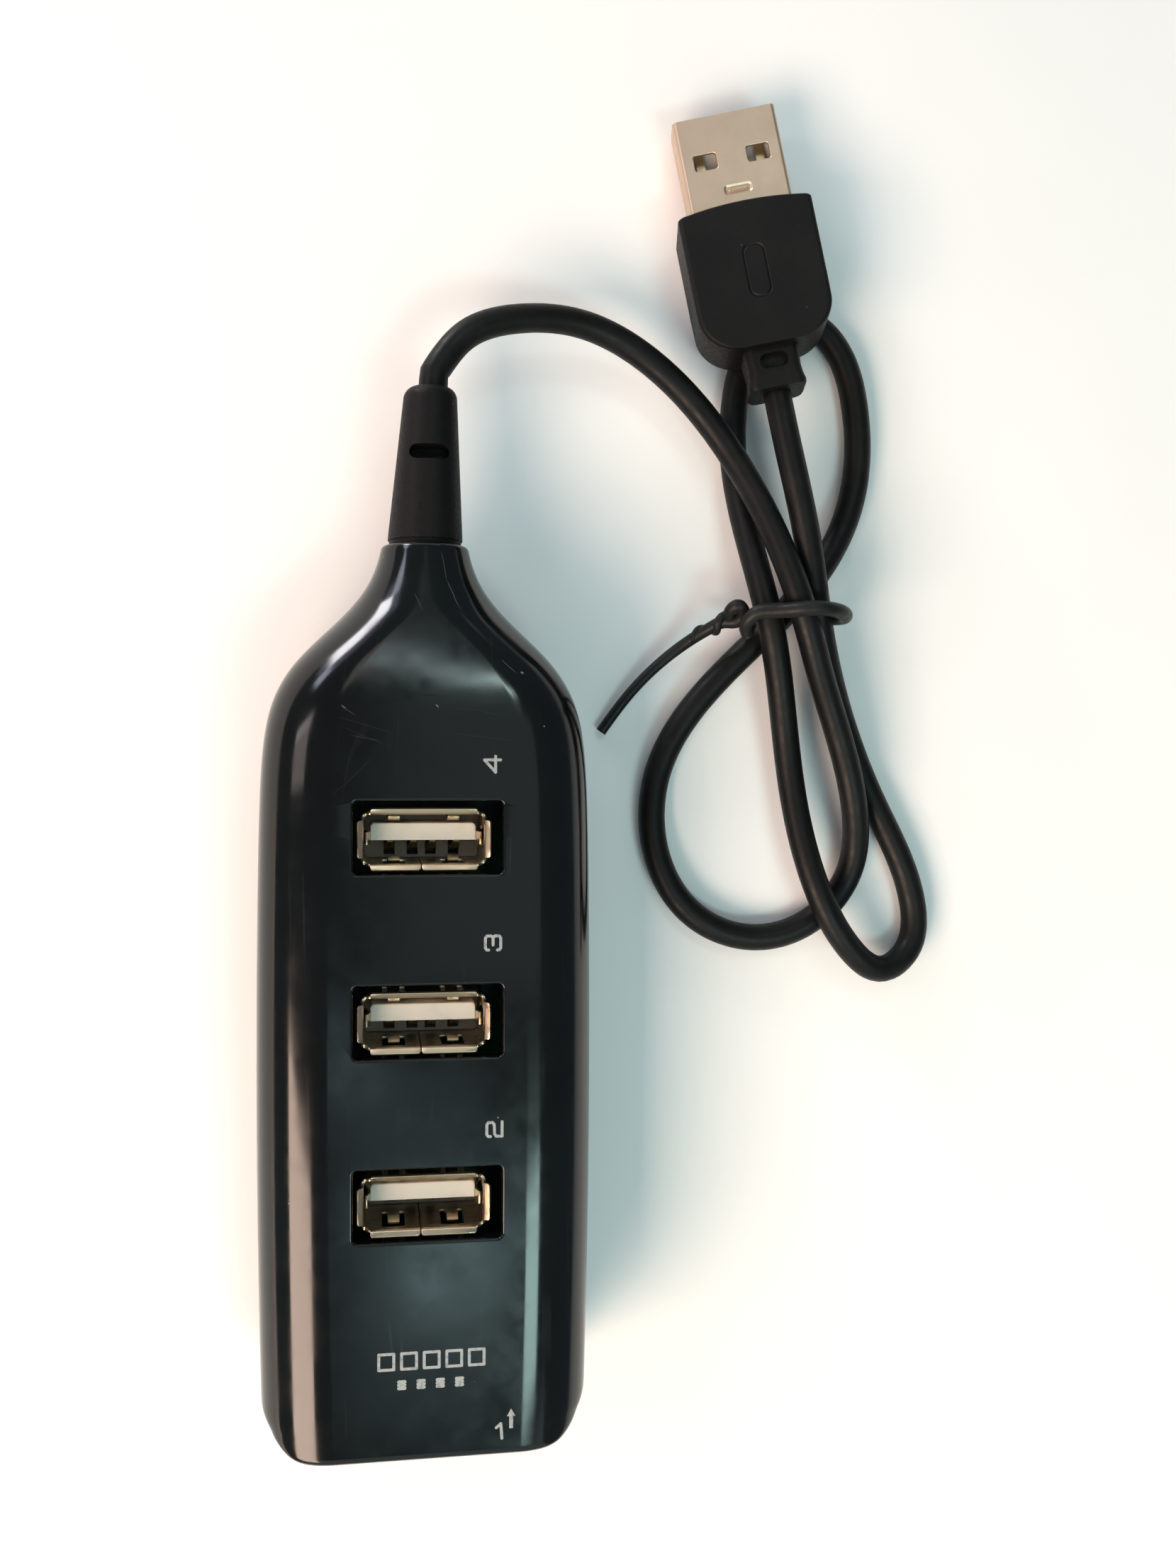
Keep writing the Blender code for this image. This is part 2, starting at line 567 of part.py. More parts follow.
def build_plug(rubber, nickel, white_plastic, gold):
    """The plug, in a frame whose origin is the middle of the shell's open end."""
    frame = bpy.data.objects.new("plug_frame", None)
    bpy.context.scene.collection.objects.link(frame)
    frame.location = PLUG_TIP
    frame.rotation_euler = (-PLUG_PITCH, -PLUG_ROLL, PLUG_TURN)

    rings = []
    for back in (0.0, 0.35, 10.0, 12.6, 13.8, 14.9, 15.9, 16.6, 17.0):
        y = GRIP_FRONT - back * MM
        pull = arc_inset((17.0 - back) * MM, 4.5 * MM) + arc_inset(back * MM, 0.35 * MM)
        height = GRIP_HALF_HEIGHT - arc_inset(back * MM, 0.35 * MM)
        bottom = height - 0.6 * MM * max(back - 10.0, 0.0) / 7
        rings.append(grip_ring(y, GRIP_HALF_WIDTH - pull, height, bottom, 1.1 * MM))
    neck = ((GRIP_BACK, 3.2), (GRIP_BACK - 2.6 * MM, 3.1), (GRIP_NECK_END + 1.3 * MM, 3.25),
            (GRIP_NECK_END + 0.4 * MM, 3.35), (GRIP_NECK_END, 3.1))
    for y, half in neck:
        rings.append(grip_ring(y, half * MM, 2.7 * MM, 2.7 * MM, 1.1 * MM))
    grip = new_object("plug_overmould", loft("plug_overmould", rings, math.radians(35)), rubber)
    pocket_x = PLUG_SHELL_WIDTH / 2 + GAP
    pocket_z = PLUG_SHELL_HEIGHT / 2 + GAP
    pocket = box("plug_pocket", (-pocket_x, GRIP_FRONT - 4.3 * MM, -pocket_z),
                 (pocket_x, GRIP_FRONT + MM, pocket_z))
    boolean(grip, cutter("plug_pocket", pocket, parent=frame))
    outline = rounded_rectangle(3.2 * MM, 1.8 * MM, 0.8 * MM)
    slot = loft("grip_slot", [[(x, y, z) for x, y in outline] for z in (-MM, MM)])
    boolean(grip, cutter("grip_slot", slot, (0, GRIP_BACK - 1.6 * MM, 2.7 * MM), parent=frame))
    grip.parent = frame

    outer = rounded_rectangle(PLUG_SHELL_WIDTH, PLUG_SHELL_HEIGHT, 0.5 * MM)
    inner = rounded_rectangle(PLUG_SHELL_WIDTH - 0.6 * MM, PLUG_SHELL_HEIGHT - 0.6 * MM, 0.2 * MM)
    back = GRIP_FRONT - 4.0 * MM
    rings = [[(x, y, z) for x, z in points] for points, y in
             ((outer, 0.0), (outer, back), (inner, back), (inner, 0.0))]
    shape = bmesh.new()
    rows = [[shape.verts.new(point) for point in ring] for ring in rings]
    count = len(outer)
    for index, near in enumerate(rows):
        far = rows[(index + 1) % len(rows)]
        for i in range(count):
            j = (i + 1) % count
            shape.faces.new((near[i], near[j], far[j], far[i]))
    shell = new_object("plug_shell", finish_mesh("plug_shell", shape), nickel)
    shell.parent = frame
    for side in (-1, 1):
        window = box("plug_window", (-1.3 * MM, -0.95 * MM, -4 * MM), (1.3 * MM, 0.95 * MM, 4 * MM))
        boolean(shell, cutter(f"plug_window_{side}", window, (side * 3.1 * MM, -5.4 * MM, 0),
                              parent=frame))

    floor = -PLUG_SHELL_HEIGHT / 2 + 0.3 * MM + GAP
    insulator = new_object("plug_tongue", box("plug_tongue", (-5.3 * MM, back + GAP, floor),
                                              (5.3 * MM, -0.9 * MM, 0.05 * MM)), white_plastic)
    insulator.parent = frame
    for index, x in enumerate(CONTACT_X, start=1):
        front = -1.4 * MM if index in (1, 4) else -2.4 * MM
        strip = box("plug_contact", (x - 0.5 * MM, -9.4 * MM, 0.05 * MM + GAP),
                    (x + 0.5 * MM, front, 0.2 * MM + GAP))
        contact = new_object(f"plug_contact_{index}", strip, gold)
        contact.parent = frame


def main():
    clear_scene()
    gloss_black = make_material("gloss black plastic", (0.012, 0.015, 0.016), 0.12)
    rubber = make_material("black rubber", (0.018, 0.017, 0.017), 0.6)
    cord_black = make_material("cord black", (0.014, 0.014, 0.014), 0.38)
    nickel = make_material("nickel", (0.62, 0.56, 0.48), 0.28, 1.0)
    steel = make_material("screw steel", (0.5, 0.5, 0.5), 0.35, 1.0)
    gold = make_material("contact metal", (0.75, 0.6, 0.32), 0.3, 1.0)
    white_plastic = make_material("white plastic", (0.78, 0.76, 0.72), 0.5)
    green = make_material("board green", (0.02, 0.16, 0.08), 0.45)
    chip_black = make_material("chip black", (0.02, 0.02, 0.02), 0.5)
    ceramic = make_material("ceramic", (0.42, 0.3, 0.2), 0.5)
    insulation = {
        "red": make_material("red insulation", (0.5, 0.02, 0.02), 0.5),
        "white": make_material("white insulation", (0.75, 0.75, 0.72), 0.5),
        "green": make_material("green insulation", (0.03, 0.3, 0.06), 0.5),
        "black": make_material("black insulation", (0.02, 0.02, 0.02), 0.5),
    }
    build_case(gloss_black)
    build_screws(steel)
    build_board(green)
    build_board_parts(chip_black, steel, ceramic, chip_black)
    for number in (1, 2, 3, 4):
        build_socket_shell(number, nickel)
        build_socket_inside(number, white_plastic, gold)
    build_wires(insulation)
    build_strain_relief(rubber)
    build_cord(cord_black)
    build_tie(rubber)
    build_plug(rubber, nickel, white_plastic, gold)


main()
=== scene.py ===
"""A gloss black four-port hub with its tied cord and plug, shown from above on a pale floor.

Each visible piece is remade here as a fine, smooth mesh in the place that its plain node holds.
Everything is in metres: +Z up, +Y towards the end of the case where the cord leaves.
"""
import math

import bmesh
import bpy
import numpy as np
from mathutils import Euler, Matrix, Vector


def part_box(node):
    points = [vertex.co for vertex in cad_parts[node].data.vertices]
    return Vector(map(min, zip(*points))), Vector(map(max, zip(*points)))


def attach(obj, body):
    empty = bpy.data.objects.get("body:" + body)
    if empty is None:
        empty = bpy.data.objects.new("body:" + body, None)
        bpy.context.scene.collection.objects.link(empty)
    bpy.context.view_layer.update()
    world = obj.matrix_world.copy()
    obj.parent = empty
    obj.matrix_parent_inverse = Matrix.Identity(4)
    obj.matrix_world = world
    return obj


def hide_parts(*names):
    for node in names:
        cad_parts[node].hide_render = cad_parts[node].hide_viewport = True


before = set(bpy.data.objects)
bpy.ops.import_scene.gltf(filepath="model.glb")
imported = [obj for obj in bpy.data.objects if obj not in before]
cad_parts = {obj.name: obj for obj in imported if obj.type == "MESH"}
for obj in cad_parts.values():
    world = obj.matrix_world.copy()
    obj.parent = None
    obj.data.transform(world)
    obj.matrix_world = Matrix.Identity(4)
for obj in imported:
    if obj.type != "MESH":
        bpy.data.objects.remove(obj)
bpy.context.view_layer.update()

MM = 0.001
TINY = 1e-7                         # for comparing places
CUT = "DIFFERENCE"
JOIN = "UNION"
IN_PLACE = Matrix.Identity(4)
CORNERS = ((1, 1), (-1, 1), (-1, -1), (1, -1))
FACING_END = Matrix.Rotation(math.pi / 2, 4, "X")

# Case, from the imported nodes
CASE_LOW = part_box("case_bottom")[0]
CASE_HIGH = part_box("case_top")[1]
CASE_END_Y = CASE_LOW[1]
NECK_MOUTH_Y = CASE_HIGH[1] - 0.3 * MM
CASE_HEIGHT = CASE_HIGH[2]
CASE_HALF_WIDTH = CASE_HIGH[0]
MID_Z = CASE_HEIGHT / 2
WIDEST_Y = -18.0 * MM
BARREL = 0.37                       # how fast the sides pull in, per metre, away from WIDEST_Y
NECK_HALF_WIDTH = 4.1 * MM
NECK_START_Y = 30.0 * MM
NECK_CURVE = 3.2 * MM
TOP_SLOPE = 0.32                    # of the case's top, where it runs down to the neck's mouth
TOP_SLOPE_Y = 21.5 * MM             # where the top has half that slope
TOP_SLOPE_CURVE = 3.2 * MM
TOP_FLAT_END = 12.5 * MM            # the top is flat as far as this, past the last cut-out
WALL = 1.8 * MM
SHOULDER_WIDTH = 7.75 * MM
SHOULDER_DROP = 7.0 * MM
BASE_ROUND = 4.6 * MM
CORNER_RADIUS = 5.5 * MM
ROUND_SOFTNESS = 1.2 * MM
CORNER_SOFTNESS = 0.7 * MM
BODY_END_Y = 8 * MM                 # from here on its rings stand closer
END_EDGE_ROUND = 0.8 * MM
CUTOUT_WIDTH = 15.5 * MM
CUTOUT_HEIGHT = 7.62 * MM
CUTOUT_ROUND = 0.5 * MM
CUTOUT_EDGE_ROUND = 0.28 * MM
CUTOUT_REACH = 4 * MM
MOUTH_EDGE_ROUND = 0.45 * MM
CUTOUT_SHIFT = (0.4 * MM, 0.2 * MM)  # from the middle of a socket to the middle of its cut-out
NECK_WALL = 5.3 * MM                # along Y, between the hollow and the neck's mouth
BORE_RADIUS = 3.2 * MM              # of the way through it for the cord
RECESS_RADIUS = 4.18 * MM           # of the sleeve's seat in the mouth
RECESS_DEPTH = 1.2 * MM
SCREW_Y = (-20.5 * MM, 20.5 * MM)
SEAM_GAP = 0.12 * MM
INK_RISE = 0.015 * MM
INK_SINK = 0.06 * MM

# Sockets
SHELL_WIDTH = 13.1 * MM
SHELL_HEIGHT = 5.72 * MM
SHEET = 0.3 * MM
SHELL_ROUND = 0.9 * MM
SHELL_LENGTH = 14.3 * MM
SHELL_SEAM_X = -0.3 * MM
SHELL_SEAM_HALF = 0.05 * MM
CORNER_DROP = 0.42 * MM             # how far the mouth edge dips between the lips
LIP_RISE = 0.45 * MM
TONGUE_WIDTH = 11.1 * MM
TONGUE_THICK = 1.84 * MM
TONGUE_RECESS = 2.7 * MM
TONGUE_HIGH = SHELL_HEIGHT / 2 - SHEET - 0.98 * MM
TONGUE_LOW = TONGUE_HIGH - TONGUE_THICK
BASE_DEPTH = 8.6 * MM
CONTACT_X = (-3.5 * MM, -1.0 * MM, 1.0 * MM, 3.5 * MM)
CONTACT_BOW_MM = (                  # below the tongue, and down from the socket's mouth
    (-0.30, -13.0), (-0.34, -11.6), (-0.62, -9.4), (-0.95, -7.2), (-0.98, -6.2), (-0.72, -5.0),
    (-0.32, -4.2), (-0.16, -3.8),
)

# Strain relief, cord and tie
SLEEVE_TAPER = 0.075                # change of radius with length
SLEEVE_LEAN = 0.035                 # sideways, with length
SLEEVE_SLOT_MM = (0.35, 49.4, 3.65)  # where a slot is cut, its Z from the neck's axis
CORD_INSIDE = (0.05 * MM, 1.2 * MM, 0.0)    # how far back it starts in the sleeve
CORD_STEPS = 520
CORD_RADIUS = 1.6 * MM
CORD_LOWEST = CORD_RADIUS + 0.05 * MM
CORD_ROUTE_MM = (
    (0.9, 57.55, 10.5), (1.0, 58.6, 10.5), (4.4, 62.9, 10.2), (10.6, 65.4, 9.0),
    (18.4, 65.6, 6.9), (28.1, 60.8, 5.2), (37.2, 49.6, 6.0), (43.7, 32.7, 9.7),
    (46.1, 26.3, 8.0), (49.7, 17.6, 5.6), (51.9, 9.5, 4.2), (51.8, 2.0, 1.9),
    (47.4, -3.3, 1.65), (39.8, -5.4, 1.65), (32.3, -2.3, 1.65), (27.8, 5.6, 1.65),
    (28.1, 14.6, 1.65), (38.3, 29.0, 3.1), (43.9, 34.6, 3.4), (49.0, 41.3, 2.9),
    (52.3, 49.9, 1.75), (52.2, 58.9, 1.65), (50.0, 65.5, 1.65), (46.0, 68.8, 1.65),
    (41.2, 67.9, 1.65), (37.8, 62.1, 1.65), (37.1, 52.0, 1.75), (40.5, 31.5, 6.9),
    (42.7, 21.4, 4.6), (44.4, 10.4, 4.2), (47.0, 0.4, 5.4), (51.2, -6.5, 4.7),
    (55.8, -9.3, 3.3), (59.7, -6.9, 2.0), (60.1, -0.6, 1.65), (55.0, 11.1, 1.65),
    (51.0, 20.2, 2.2), (46.4, 32.2, 6.6), (44.4, 41.6, 8.2), (41.47, 53.7, 8.65),
    (40.62, 58.46, 8.02),
)
TIE_RADIUS = 0.66 * MM
TIE_TWIST_MM = (35.2, 32.3, 6.3)    # where its short end is wound round it
TIE_TURNS = 1.4
TIE_STEPS = 320
WINDING_STEPS = 25
TIE_ROUTE_MM = (                    # and how many times its usual thickness it is there
    (37.5, 30.9, 7.4, 1.15), (36.9, 31.7, 8.7, 1.2), (37.6, 32.9, 9.8, 1.3),
    (40.2, 33.3, 10.9, 1.35), (43.6, 33.5, 12.5, 1.35), (46.8, 33.4, 11.5, 1.3),
    (48.9, 33.1, 8.6, 1.3), (49.2, 33.0, 5.6, 1.2), (47.0, 33.2, 2.9, 1.1), (42.9, 33.4, 0.95, 1.0),
    (39.5, 33.2, 2.1, 1.0), (37.4, 32.9, 4.6, 1.0), (36.0, 32.6, 6.3, 1.05), (35.3, 33.4, 7.6, 1.1),
    (36.1, 34.0, 8.4, 1.15), (36.8, 33.3, 7.9, 1.15), (36.2, 32.3, 6.9, 1.15),
    (35.0, 32.3, 6.2, 1.15), (33.8, 31.8, 5.4, 1.1), (31.8, 30.5, 3.9, 1.05),
    (28.6, 28.0, 2.4, 1.0), (24.6, 23.9, 1.5, 0.95), (21.3, 19.4, 0.8, 0.95),
)

# Plug
PLUG_TURN = math.radians(11.35)
PLUG_PITCH = math.radians(7.4)
PLUG_ROLL = math.radians(9.5)
PLUG_WIDTH = 12.0 * MM
PLUG_HEIGHT = 4.5 * MM
PLUG_SHEET = 0.3 * MM
PLUG_LENGTH = 15.4 * MM
GRIP_FRONT = -11.4 * MM
GRIP_BACK = -28.4 * MM
GRIP_NECK_END = -33.1 * MM
GRIP_HALF_WIDTH = 7.75 * MM
GRIP_HALF_HEIGHT = 4.0 * MM
GRIP_ROUND = 4.5 * MM
GRIP_EDGE_ROUND = 0.35 * MM
GRIP_NECK_HALF = 2.7 * MM
GRIP_POCKET_DEPTH = 4.1 * MM        # the shell sits in it
GRIP_POCKET_PLAY = 0.06 * MM
GRIP_GROOVE_Y = -19.8 * MM
PLUG_WINDOW_MM = (3.1, -5.4)        # from the middle, and back from the open end


# ---- meshes

def shade(data, angle):
    """Smooth shading but for edges sharper than the angle in degrees."""
    data.shade_smooth()
    data.set_sharp_from_angle(angle=math.radians(angle))


def mesh_from(name, shape, smooth_angle=35.0):
    """Mesh data from a bmesh."""
    bmesh.ops.recalc_face_normals(shape, faces=shape.faces)
    data = bpy.data.meshes.new(name)
    shape.to_mesh(data)
    shape.free()
    shade(data, smooth_angle)
    return data


def add_rings(shape, rings, caps=True):
    """Faces between closed rings of points, and across the first and last ring."""
    rows = [[shape.verts.new(point) for point in ring] for ring in rings]
    count = len(rows[0])
    for near, far in zip(rows, rows[1:]):
        for i in range(count):
            j = (i + 1) % count
            shape.faces.new((near[i], near[j], far[j], far[i]))
    if caps:
        shape.faces.new(rows[0])
        shape.faces.new(rows[-1])
    return rows


def loft(name, rings, smooth_angle=35.0):
    """A closed solid through rings of points."""
    shape = bmesh.new()
    add_rings(shape, rings)
    return mesh_from(name, shape, smooth_angle)


def prism(name, outline, heights):
    """A closed upright solid with one flat outline at each of the given heights."""
    return loft(name, [[(x, y, z) for x, y in outline] for z in heights])


def box(name, low, high):
    """A box between two corners."""
    outline = ((low[0], low[1]), (high[0], low[1]), (high[0], high[1]), (low[0], high[1]))
    return prism(name, outline, (low[2], high[2]))


def rounded_rectangle(width, height, radius, steps=6, along=0):
    """Points of a rectangle with round corners, and some along its straight sides."""
    points = []
    for corner, (sign_x, sign_y) in enumerate(CORNERS):
        for step in range(steps + 1):
            angle = math.pi / 2 * (corner + step / steps)
            points.append((sign_x * (width / 2 - radius) + radius * math.cos(angle),
                           sign_y * (height / 2 - radius) + radius * math.sin(angle)))
    full = []
    for index, point in enumerate(points):
        full.append(point)
        if index % (steps + 1) == steps:
            x, y = points[(index + 1) % len(points)]
            for share in np.linspace(0, 1, along + 2)[1:-1]:
                full.append((point[0] + (x - point[0]) * share, point[1] + (y - point[1]) * share))
    return full


def circle(radius, count):
    """Points of a circle about the origin."""
    turn = 2 * math.pi / count
    return [(radius * math.cos(i * turn), radius * math.sin(i * turn)) for i in range(count)]


def cylinder(name, radius, low, high, count=48):
    """An upright cylinder on the origin's axis."""
    return prism(name, circle(radius, count), (low, high))


def rounded_rings(width, height, radius, levels):
    """Rings of a rounded rectangle at (z, grow) levels, where grow widens every side and corner."""
    rings = []
    for z, grow in levels:
        outline = rounded_rectangle(width + 2 * grow, height + 2 * grow, radius + grow)
        rings.append([(x, y, z) for x, y in outline])
    return rings


def rim_levels(low, top, high, rounding, steps):
    """Levels of a cutter from low to high that rounds over the edge of what it cuts at top."""
    angles = [math.pi / 2 / steps * i for i in range(steps + 1)]
    rim = [(top - rounding * (1 - math.sin(a)), rounding * (1 - math.cos(a))) for a in angles]
    return [(low, 0.0)] + rim + [(high, rounding)]


def in_mm(*values):
    """Metres from millimetres, for one or more rows of numbers."""
    return [tuple(value * MM for value in row) for row in values]


def skin(shape, rows):
    """Faces between neighbouring open rows of vertices."""
    for near, far in zip(rows, rows[1:]):
        for i in range(len(near) - 1):
            shape.faces.new((near[i], near[i + 1], far[i + 1], far[i]))


def arc_inset(distance, radius):
    """How far a rounded corner pulls in at a distance from the end it rounds."""
    left = max(radius - max(distance, 0.0), 0.0)
    return radius - math.sqrt(radius ** 2 - left ** 2)


def soft_min(a, b, softness):
    """The smaller of two values, with a smooth change from one to the other."""
    return 0.5 * (a + b - math.sqrt((a - b) ** 2 + softness ** 2))


def smooth_curve(points, count):
    """Points spaced evenly along the natural cubic spline through the given points."""
    points = np.array(points, dtype=float)
    steps = np.linalg.norm(np.diff(points, axis=0), axis=1)
    knots = np.concatenate([[0.0], np.cumsum(steps)])
    size = len(points)
    slopes = np.diff(points, axis=0) / steps[:, None]
    matrix = np.eye(size)
    right = np.zeros(points.shape)
    for i in range(1, size - 1):
        matrix[i, i - 1:i + 2] = steps[i - 1], 2 * (steps[i - 1] + steps[i]), steps[i]
        right[i] = 6 * (slopes[i] - slopes[i - 1])
    bend = np.linalg.solve(matrix, right)
    places = np.linspace(0, knots[-1], size * 60)
    i = np.clip(np.searchsorted(knots, places, side="right") - 1, 0, size - 2)
    span = steps[i, None]
    a = (knots[i + 1] - places)[:, None] / span
    b = (places - knots[i])[:, None] / span
    pull = ((a ** 3 - a) * bend[i] + (b ** 3 - b) * bend[i + 1]) * span ** 2 / 6
    fine = a * points[i] + b * points[i + 1] + pull
    run = np.concatenate([[0.0], np.cumsum(np.linalg.norm(np.diff(fine, axis=0), axis=1))])
    wanted = np.linspace(0, run[-1], count)
    return np.column_stack([np.interp(wanted, run, fine[:, axis]) for axis in range(points.shape[1])])


# ---- pieces

def new_object(name, data):
    """Link an object for the given data."""
    item = bpy.data.objects.new(name, data)
    bpy.context.scene.collection.objects.link(item)
    return item


def settle(target, **settings):
    """Set some properties of an object, a modifier or other data, and return it."""
    for name, value in settings.items():
        setattr(target, name, value)
    return target


def freeze(item):
    """Replace an object's mesh with what its modifiers make of it."""
    graph = bpy.context.evaluated_depsgraph_get()
    made = bpy.data.meshes.new_from_object(item.evaluated_get(graph))
    item.modifiers.clear()
    item.data = made


def carve(item, tools):
    """Cut or join (mesh, place, operation) tools with an object, one after the other."""
    helpers = []
    for index, (data, place, operation) in enumerate(tools):
        helper = new_object(f"tool_{index}", data)
        helper.matrix_world = place
        settle(item.modifiers.new(helper.name, "BOOLEAN"), operation=operation, solver="EXACT",
               object=helper)
        helpers.append(helper)
    bpy.context.view_layer.update()
    freeze(item)
    for helper in helpers:
        bpy.data.objects.remove(helper, do_unlink=True)


def even_normals(item, smooth_angle=32.0):
    """Let large flat faces keep their flat shading beside small rounded ones."""
    shade(item.data, smooth_angle)
    settle(item.modifiers.new("even_normals", "WEIGHTED_NORMAL"), keep_sharp=True, weight=80)


def piece(item, material, nodes, place=IN_PLACE):
    """Finish a piece: its mesh moved to its place, its material, its body and its nodes."""
    item.data.transform(place)
    item.data.materials.clear()
    item.data.materials.append(material)
    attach(item, "root")
    if nodes:
        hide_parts(*nodes)
    return item


# ---- materials

class Surface:
    """A node material being made: a Principled shader with textures in object space."""

    def __init__(self, name, colour, roughness, metallic=0.0, **settings):
        self.material = bpy.data.materials.new(name)
        self.material.use_nodes = True
        self.tree = self.material.node_tree
        self.shader = self.tree.nodes["Principled BSDF"]
        self.shader.inputs["Base Color"].default_value = (*colour, 1.0)
        self.shader.inputs["Roughness"].default_value = roughness
        self.shader.inputs["Metallic"].default_value = metallic
        for setting, value in settings.items():
            self.shader.inputs[setting.replace("_", " ")].default_value = value
        self.place = self.tree.nodes.new("ShaderNodeTexCoord").outputs["Object"]
        self.last_bump = None

    def link(self, source, target):
        self.tree.links.new(source, target)

    def node(self, kind, **inputs):
        """A node; each named input is a constant, or a socket to link. A _ stands for a space."""
        made = self.tree.nodes.new("ShaderNode" + kind)
        for name, value in inputs.items():
            self.feed(made.inputs[name.replace("_", " ")], value)
        return made

    def feed(self, target, value):
        """Link a socket to an input, or set it to a constant."""
        if isinstance(value, bpy.types.NodeSocket):
            self.link(value, target)
        else:
            target.default_value = value

    def noise(self, scale, detail=3.0, stretch=(1, 1, 1), turn=(0, 0, 0), distortion=0.0):
        place = self.node("Mapping", Scale=stretch, Rotation=turn, Vector=self.place)
        return self.node("TexNoise", Scale=scale, Detail=detail, Distortion=distortion,
                         Vector=place.outputs["Vector"]).outputs["Fac"]

    def specks(self, scale, size, share):
        """White where a cell's point is near, in a share of the cells."""
        cells = self.node("TexVoronoi", Scale=scale, Vector=self.place)
        near = self.spread(cells.outputs["Distance"], size, size * 0.6)
        pick = self.node("SeparateColor", Color=cells.outputs["Color"])
        return self.times(near, self.spread(pick.outputs["Red"], share + 0.01, share))

    def spread(self, source, low, high, to_low=0.0, to_high=1.0):
        """Map a range of the source onto another, and clamp it."""
        return self.node("MapRange", Value=source, From_Min=low, From_Max=high, To_Min=to_low,
                         To_Max=to_high).outputs["Result"]

    def combine(self, operation, *values, kind="Math", clamp=False):
        """Values or sockets put through a math node."""
        made = self.node(kind)
        made.operation = operation
        if clamp:
            made.use_clamp = True
        for target, value in zip(made.inputs, values):
            self.feed(target, value)
        return made.outputs[0]

    def fade(self, source, strength):
        """A mask that is as strong as that at most."""
        return self.spread(source, 0.0, 1.0, 0.0, strength)

    def times(self, a, b):
        return self.combine("MULTIPLY", a, b)

    def plus(self, a, b):
        return self.combine("ADD", a, b, clamp=True)

    def scratches(self, scale, turn, length=14.0, thin=0.006):
        """Fine lines: the places where long stretched noise crosses its middle value."""
        lines = self.noise(scale, 0.0, (1.0, 1.0 / length, 1.0), (0, 0, turn), 0.3)
        patches = self.spread(self.noise(scale * 0.6, 2.0, turn=(0, 0, turn)), 0.56, 0.72)
        return self.times(self.combine("COMPARE", lines, 0.5, thin), patches)

    def mark(self, start, end, width, wander):
        """White along one scratch that wanders between two points in mm, fading at both ends."""
        source = self.place
        if wander:
            shake = self.node("TexNoise", Scale=260.0, Detail=1.0, Vector=self.place)
            source = self.combine("MULTIPLY_ADD", shake.outputs["Color"], (wander * MM,) * 3, self.place,
                                  kind="VectorMath")
        run = Vector((end[0] - start[0], end[1] - start[1], 0.0)) * MM
        along = self.node("Mapping", Location=(start[0] * MM, start[1] * MM, 0.0), Vector=source,
                          Rotation=(0.0, 0.0, math.atan2(run.y, run.x)),
                          Scale=(run.length, width * MM, 1.0))
        along.vector_type = "TEXTURE"
        parts = self.node("SeparateXYZ", Vector=along.outputs["Vector"])
        across = self.spread(self.combine("ABSOLUTE", parts.outputs["Y"]), 1.0, 0.4)
        begin = self.spread(parts.outputs["X"], 0.0, 0.15)
        finish = self.spread(parts.outputs["X"], 1.0, 0.75)
        return self.times(across, self.times(begin, finish))

    def blend(self, factor, first, second):
        """A colour between two, by a factor. Either may be a colour or a socket."""
        made = self.node("Mix")
        made.data_type = "RGBA"
        self.link(factor, made.inputs["Factor"])
        for value, target in ((first, made.inputs[6]), (second, made.inputs[7])):
            self.feed(target, (*value, 1.0) if isinstance(value, tuple) else value)
        return made.outputs[2]

    def colour(self, source):
        self.link(source, self.shader.inputs["Base Color"])

    def roughness(self, source):
        self.link(source, self.shader.inputs["Roughness"])

    def uneven_gloss(self, scale, detail, low, high):
        """Roughness that wanders between two values."""
        self.roughness(self.spread(self.noise(scale, detail), 0.3, 0.7, low, high))

    def bump(self, height, distance, strength):
        """Fine relief, on top of any relief already there."""
        made = self.node("Bump", Height=height, Distance=distance, Strength=strength)
        if self.last_bump:
            self.link(self.last_bump, made.inputs["Normal"])
        self.last_bump = made.outputs["Normal"]
        self.link(self.last_bump, self.shader.inputs["Normal"])

    def relief(self, *layers):
        """Layers of noise as relief: scale, detail, distance and strength of each."""
        for scale, detail, distance, strength in layers:
            self.bump(self.noise(scale, detail), distance, strength)


# Scratches and specks on the case: start, end, width and wander in mm, and how pale they are
CASE_MARKS = (
    ((1.9, 39.0), (2.7, 35.6), 0.05, 0.9, 0.175), ((2.7, 35.9), (4.0, 32.4), 0.06, 0.9, 0.2),
    ((-1.1, 34.2), (-0.1, 32.2), 0.05, 0.6, 0.11), ((7.9, 27.2), (9.6, 25.6), 0.05, 0.5, 0.2),
    ((9.7, 25.55), (10.05, 25.35), 0.13, 0.0, 0.5), ((-8.9, 21.9), (-7.3, 20.9), 0.05, 0.2, 0.09),
    ((-8.9, 21.85), (-8.4, 21.5), 0.08, 0.0, 0.2), ((-9.8, 12.7), (-5.0, 17.2), 0.05, 0.5, 0.025),
    ((-9.2, 21.0), (-3.0, 19.2), 0.05, 0.5, 0.03), ((-8.6, 20.0), (-3.6, 17.9), 0.05, 0.5, 0.025),
    ((-7.8, 18.9), (-4.6, 18.3), 0.06, 0.2, 0.05), ((2.4, 19.3), (9.4, 18.4), 0.04, 0.5, 0.03),
    ((0.75, 22.0), (1.05, 21.7), 0.08, 0.0, 0.4), ((3.0, 22.3), (8.5, 21.6), 0.05, 1.2, 0.025),
)


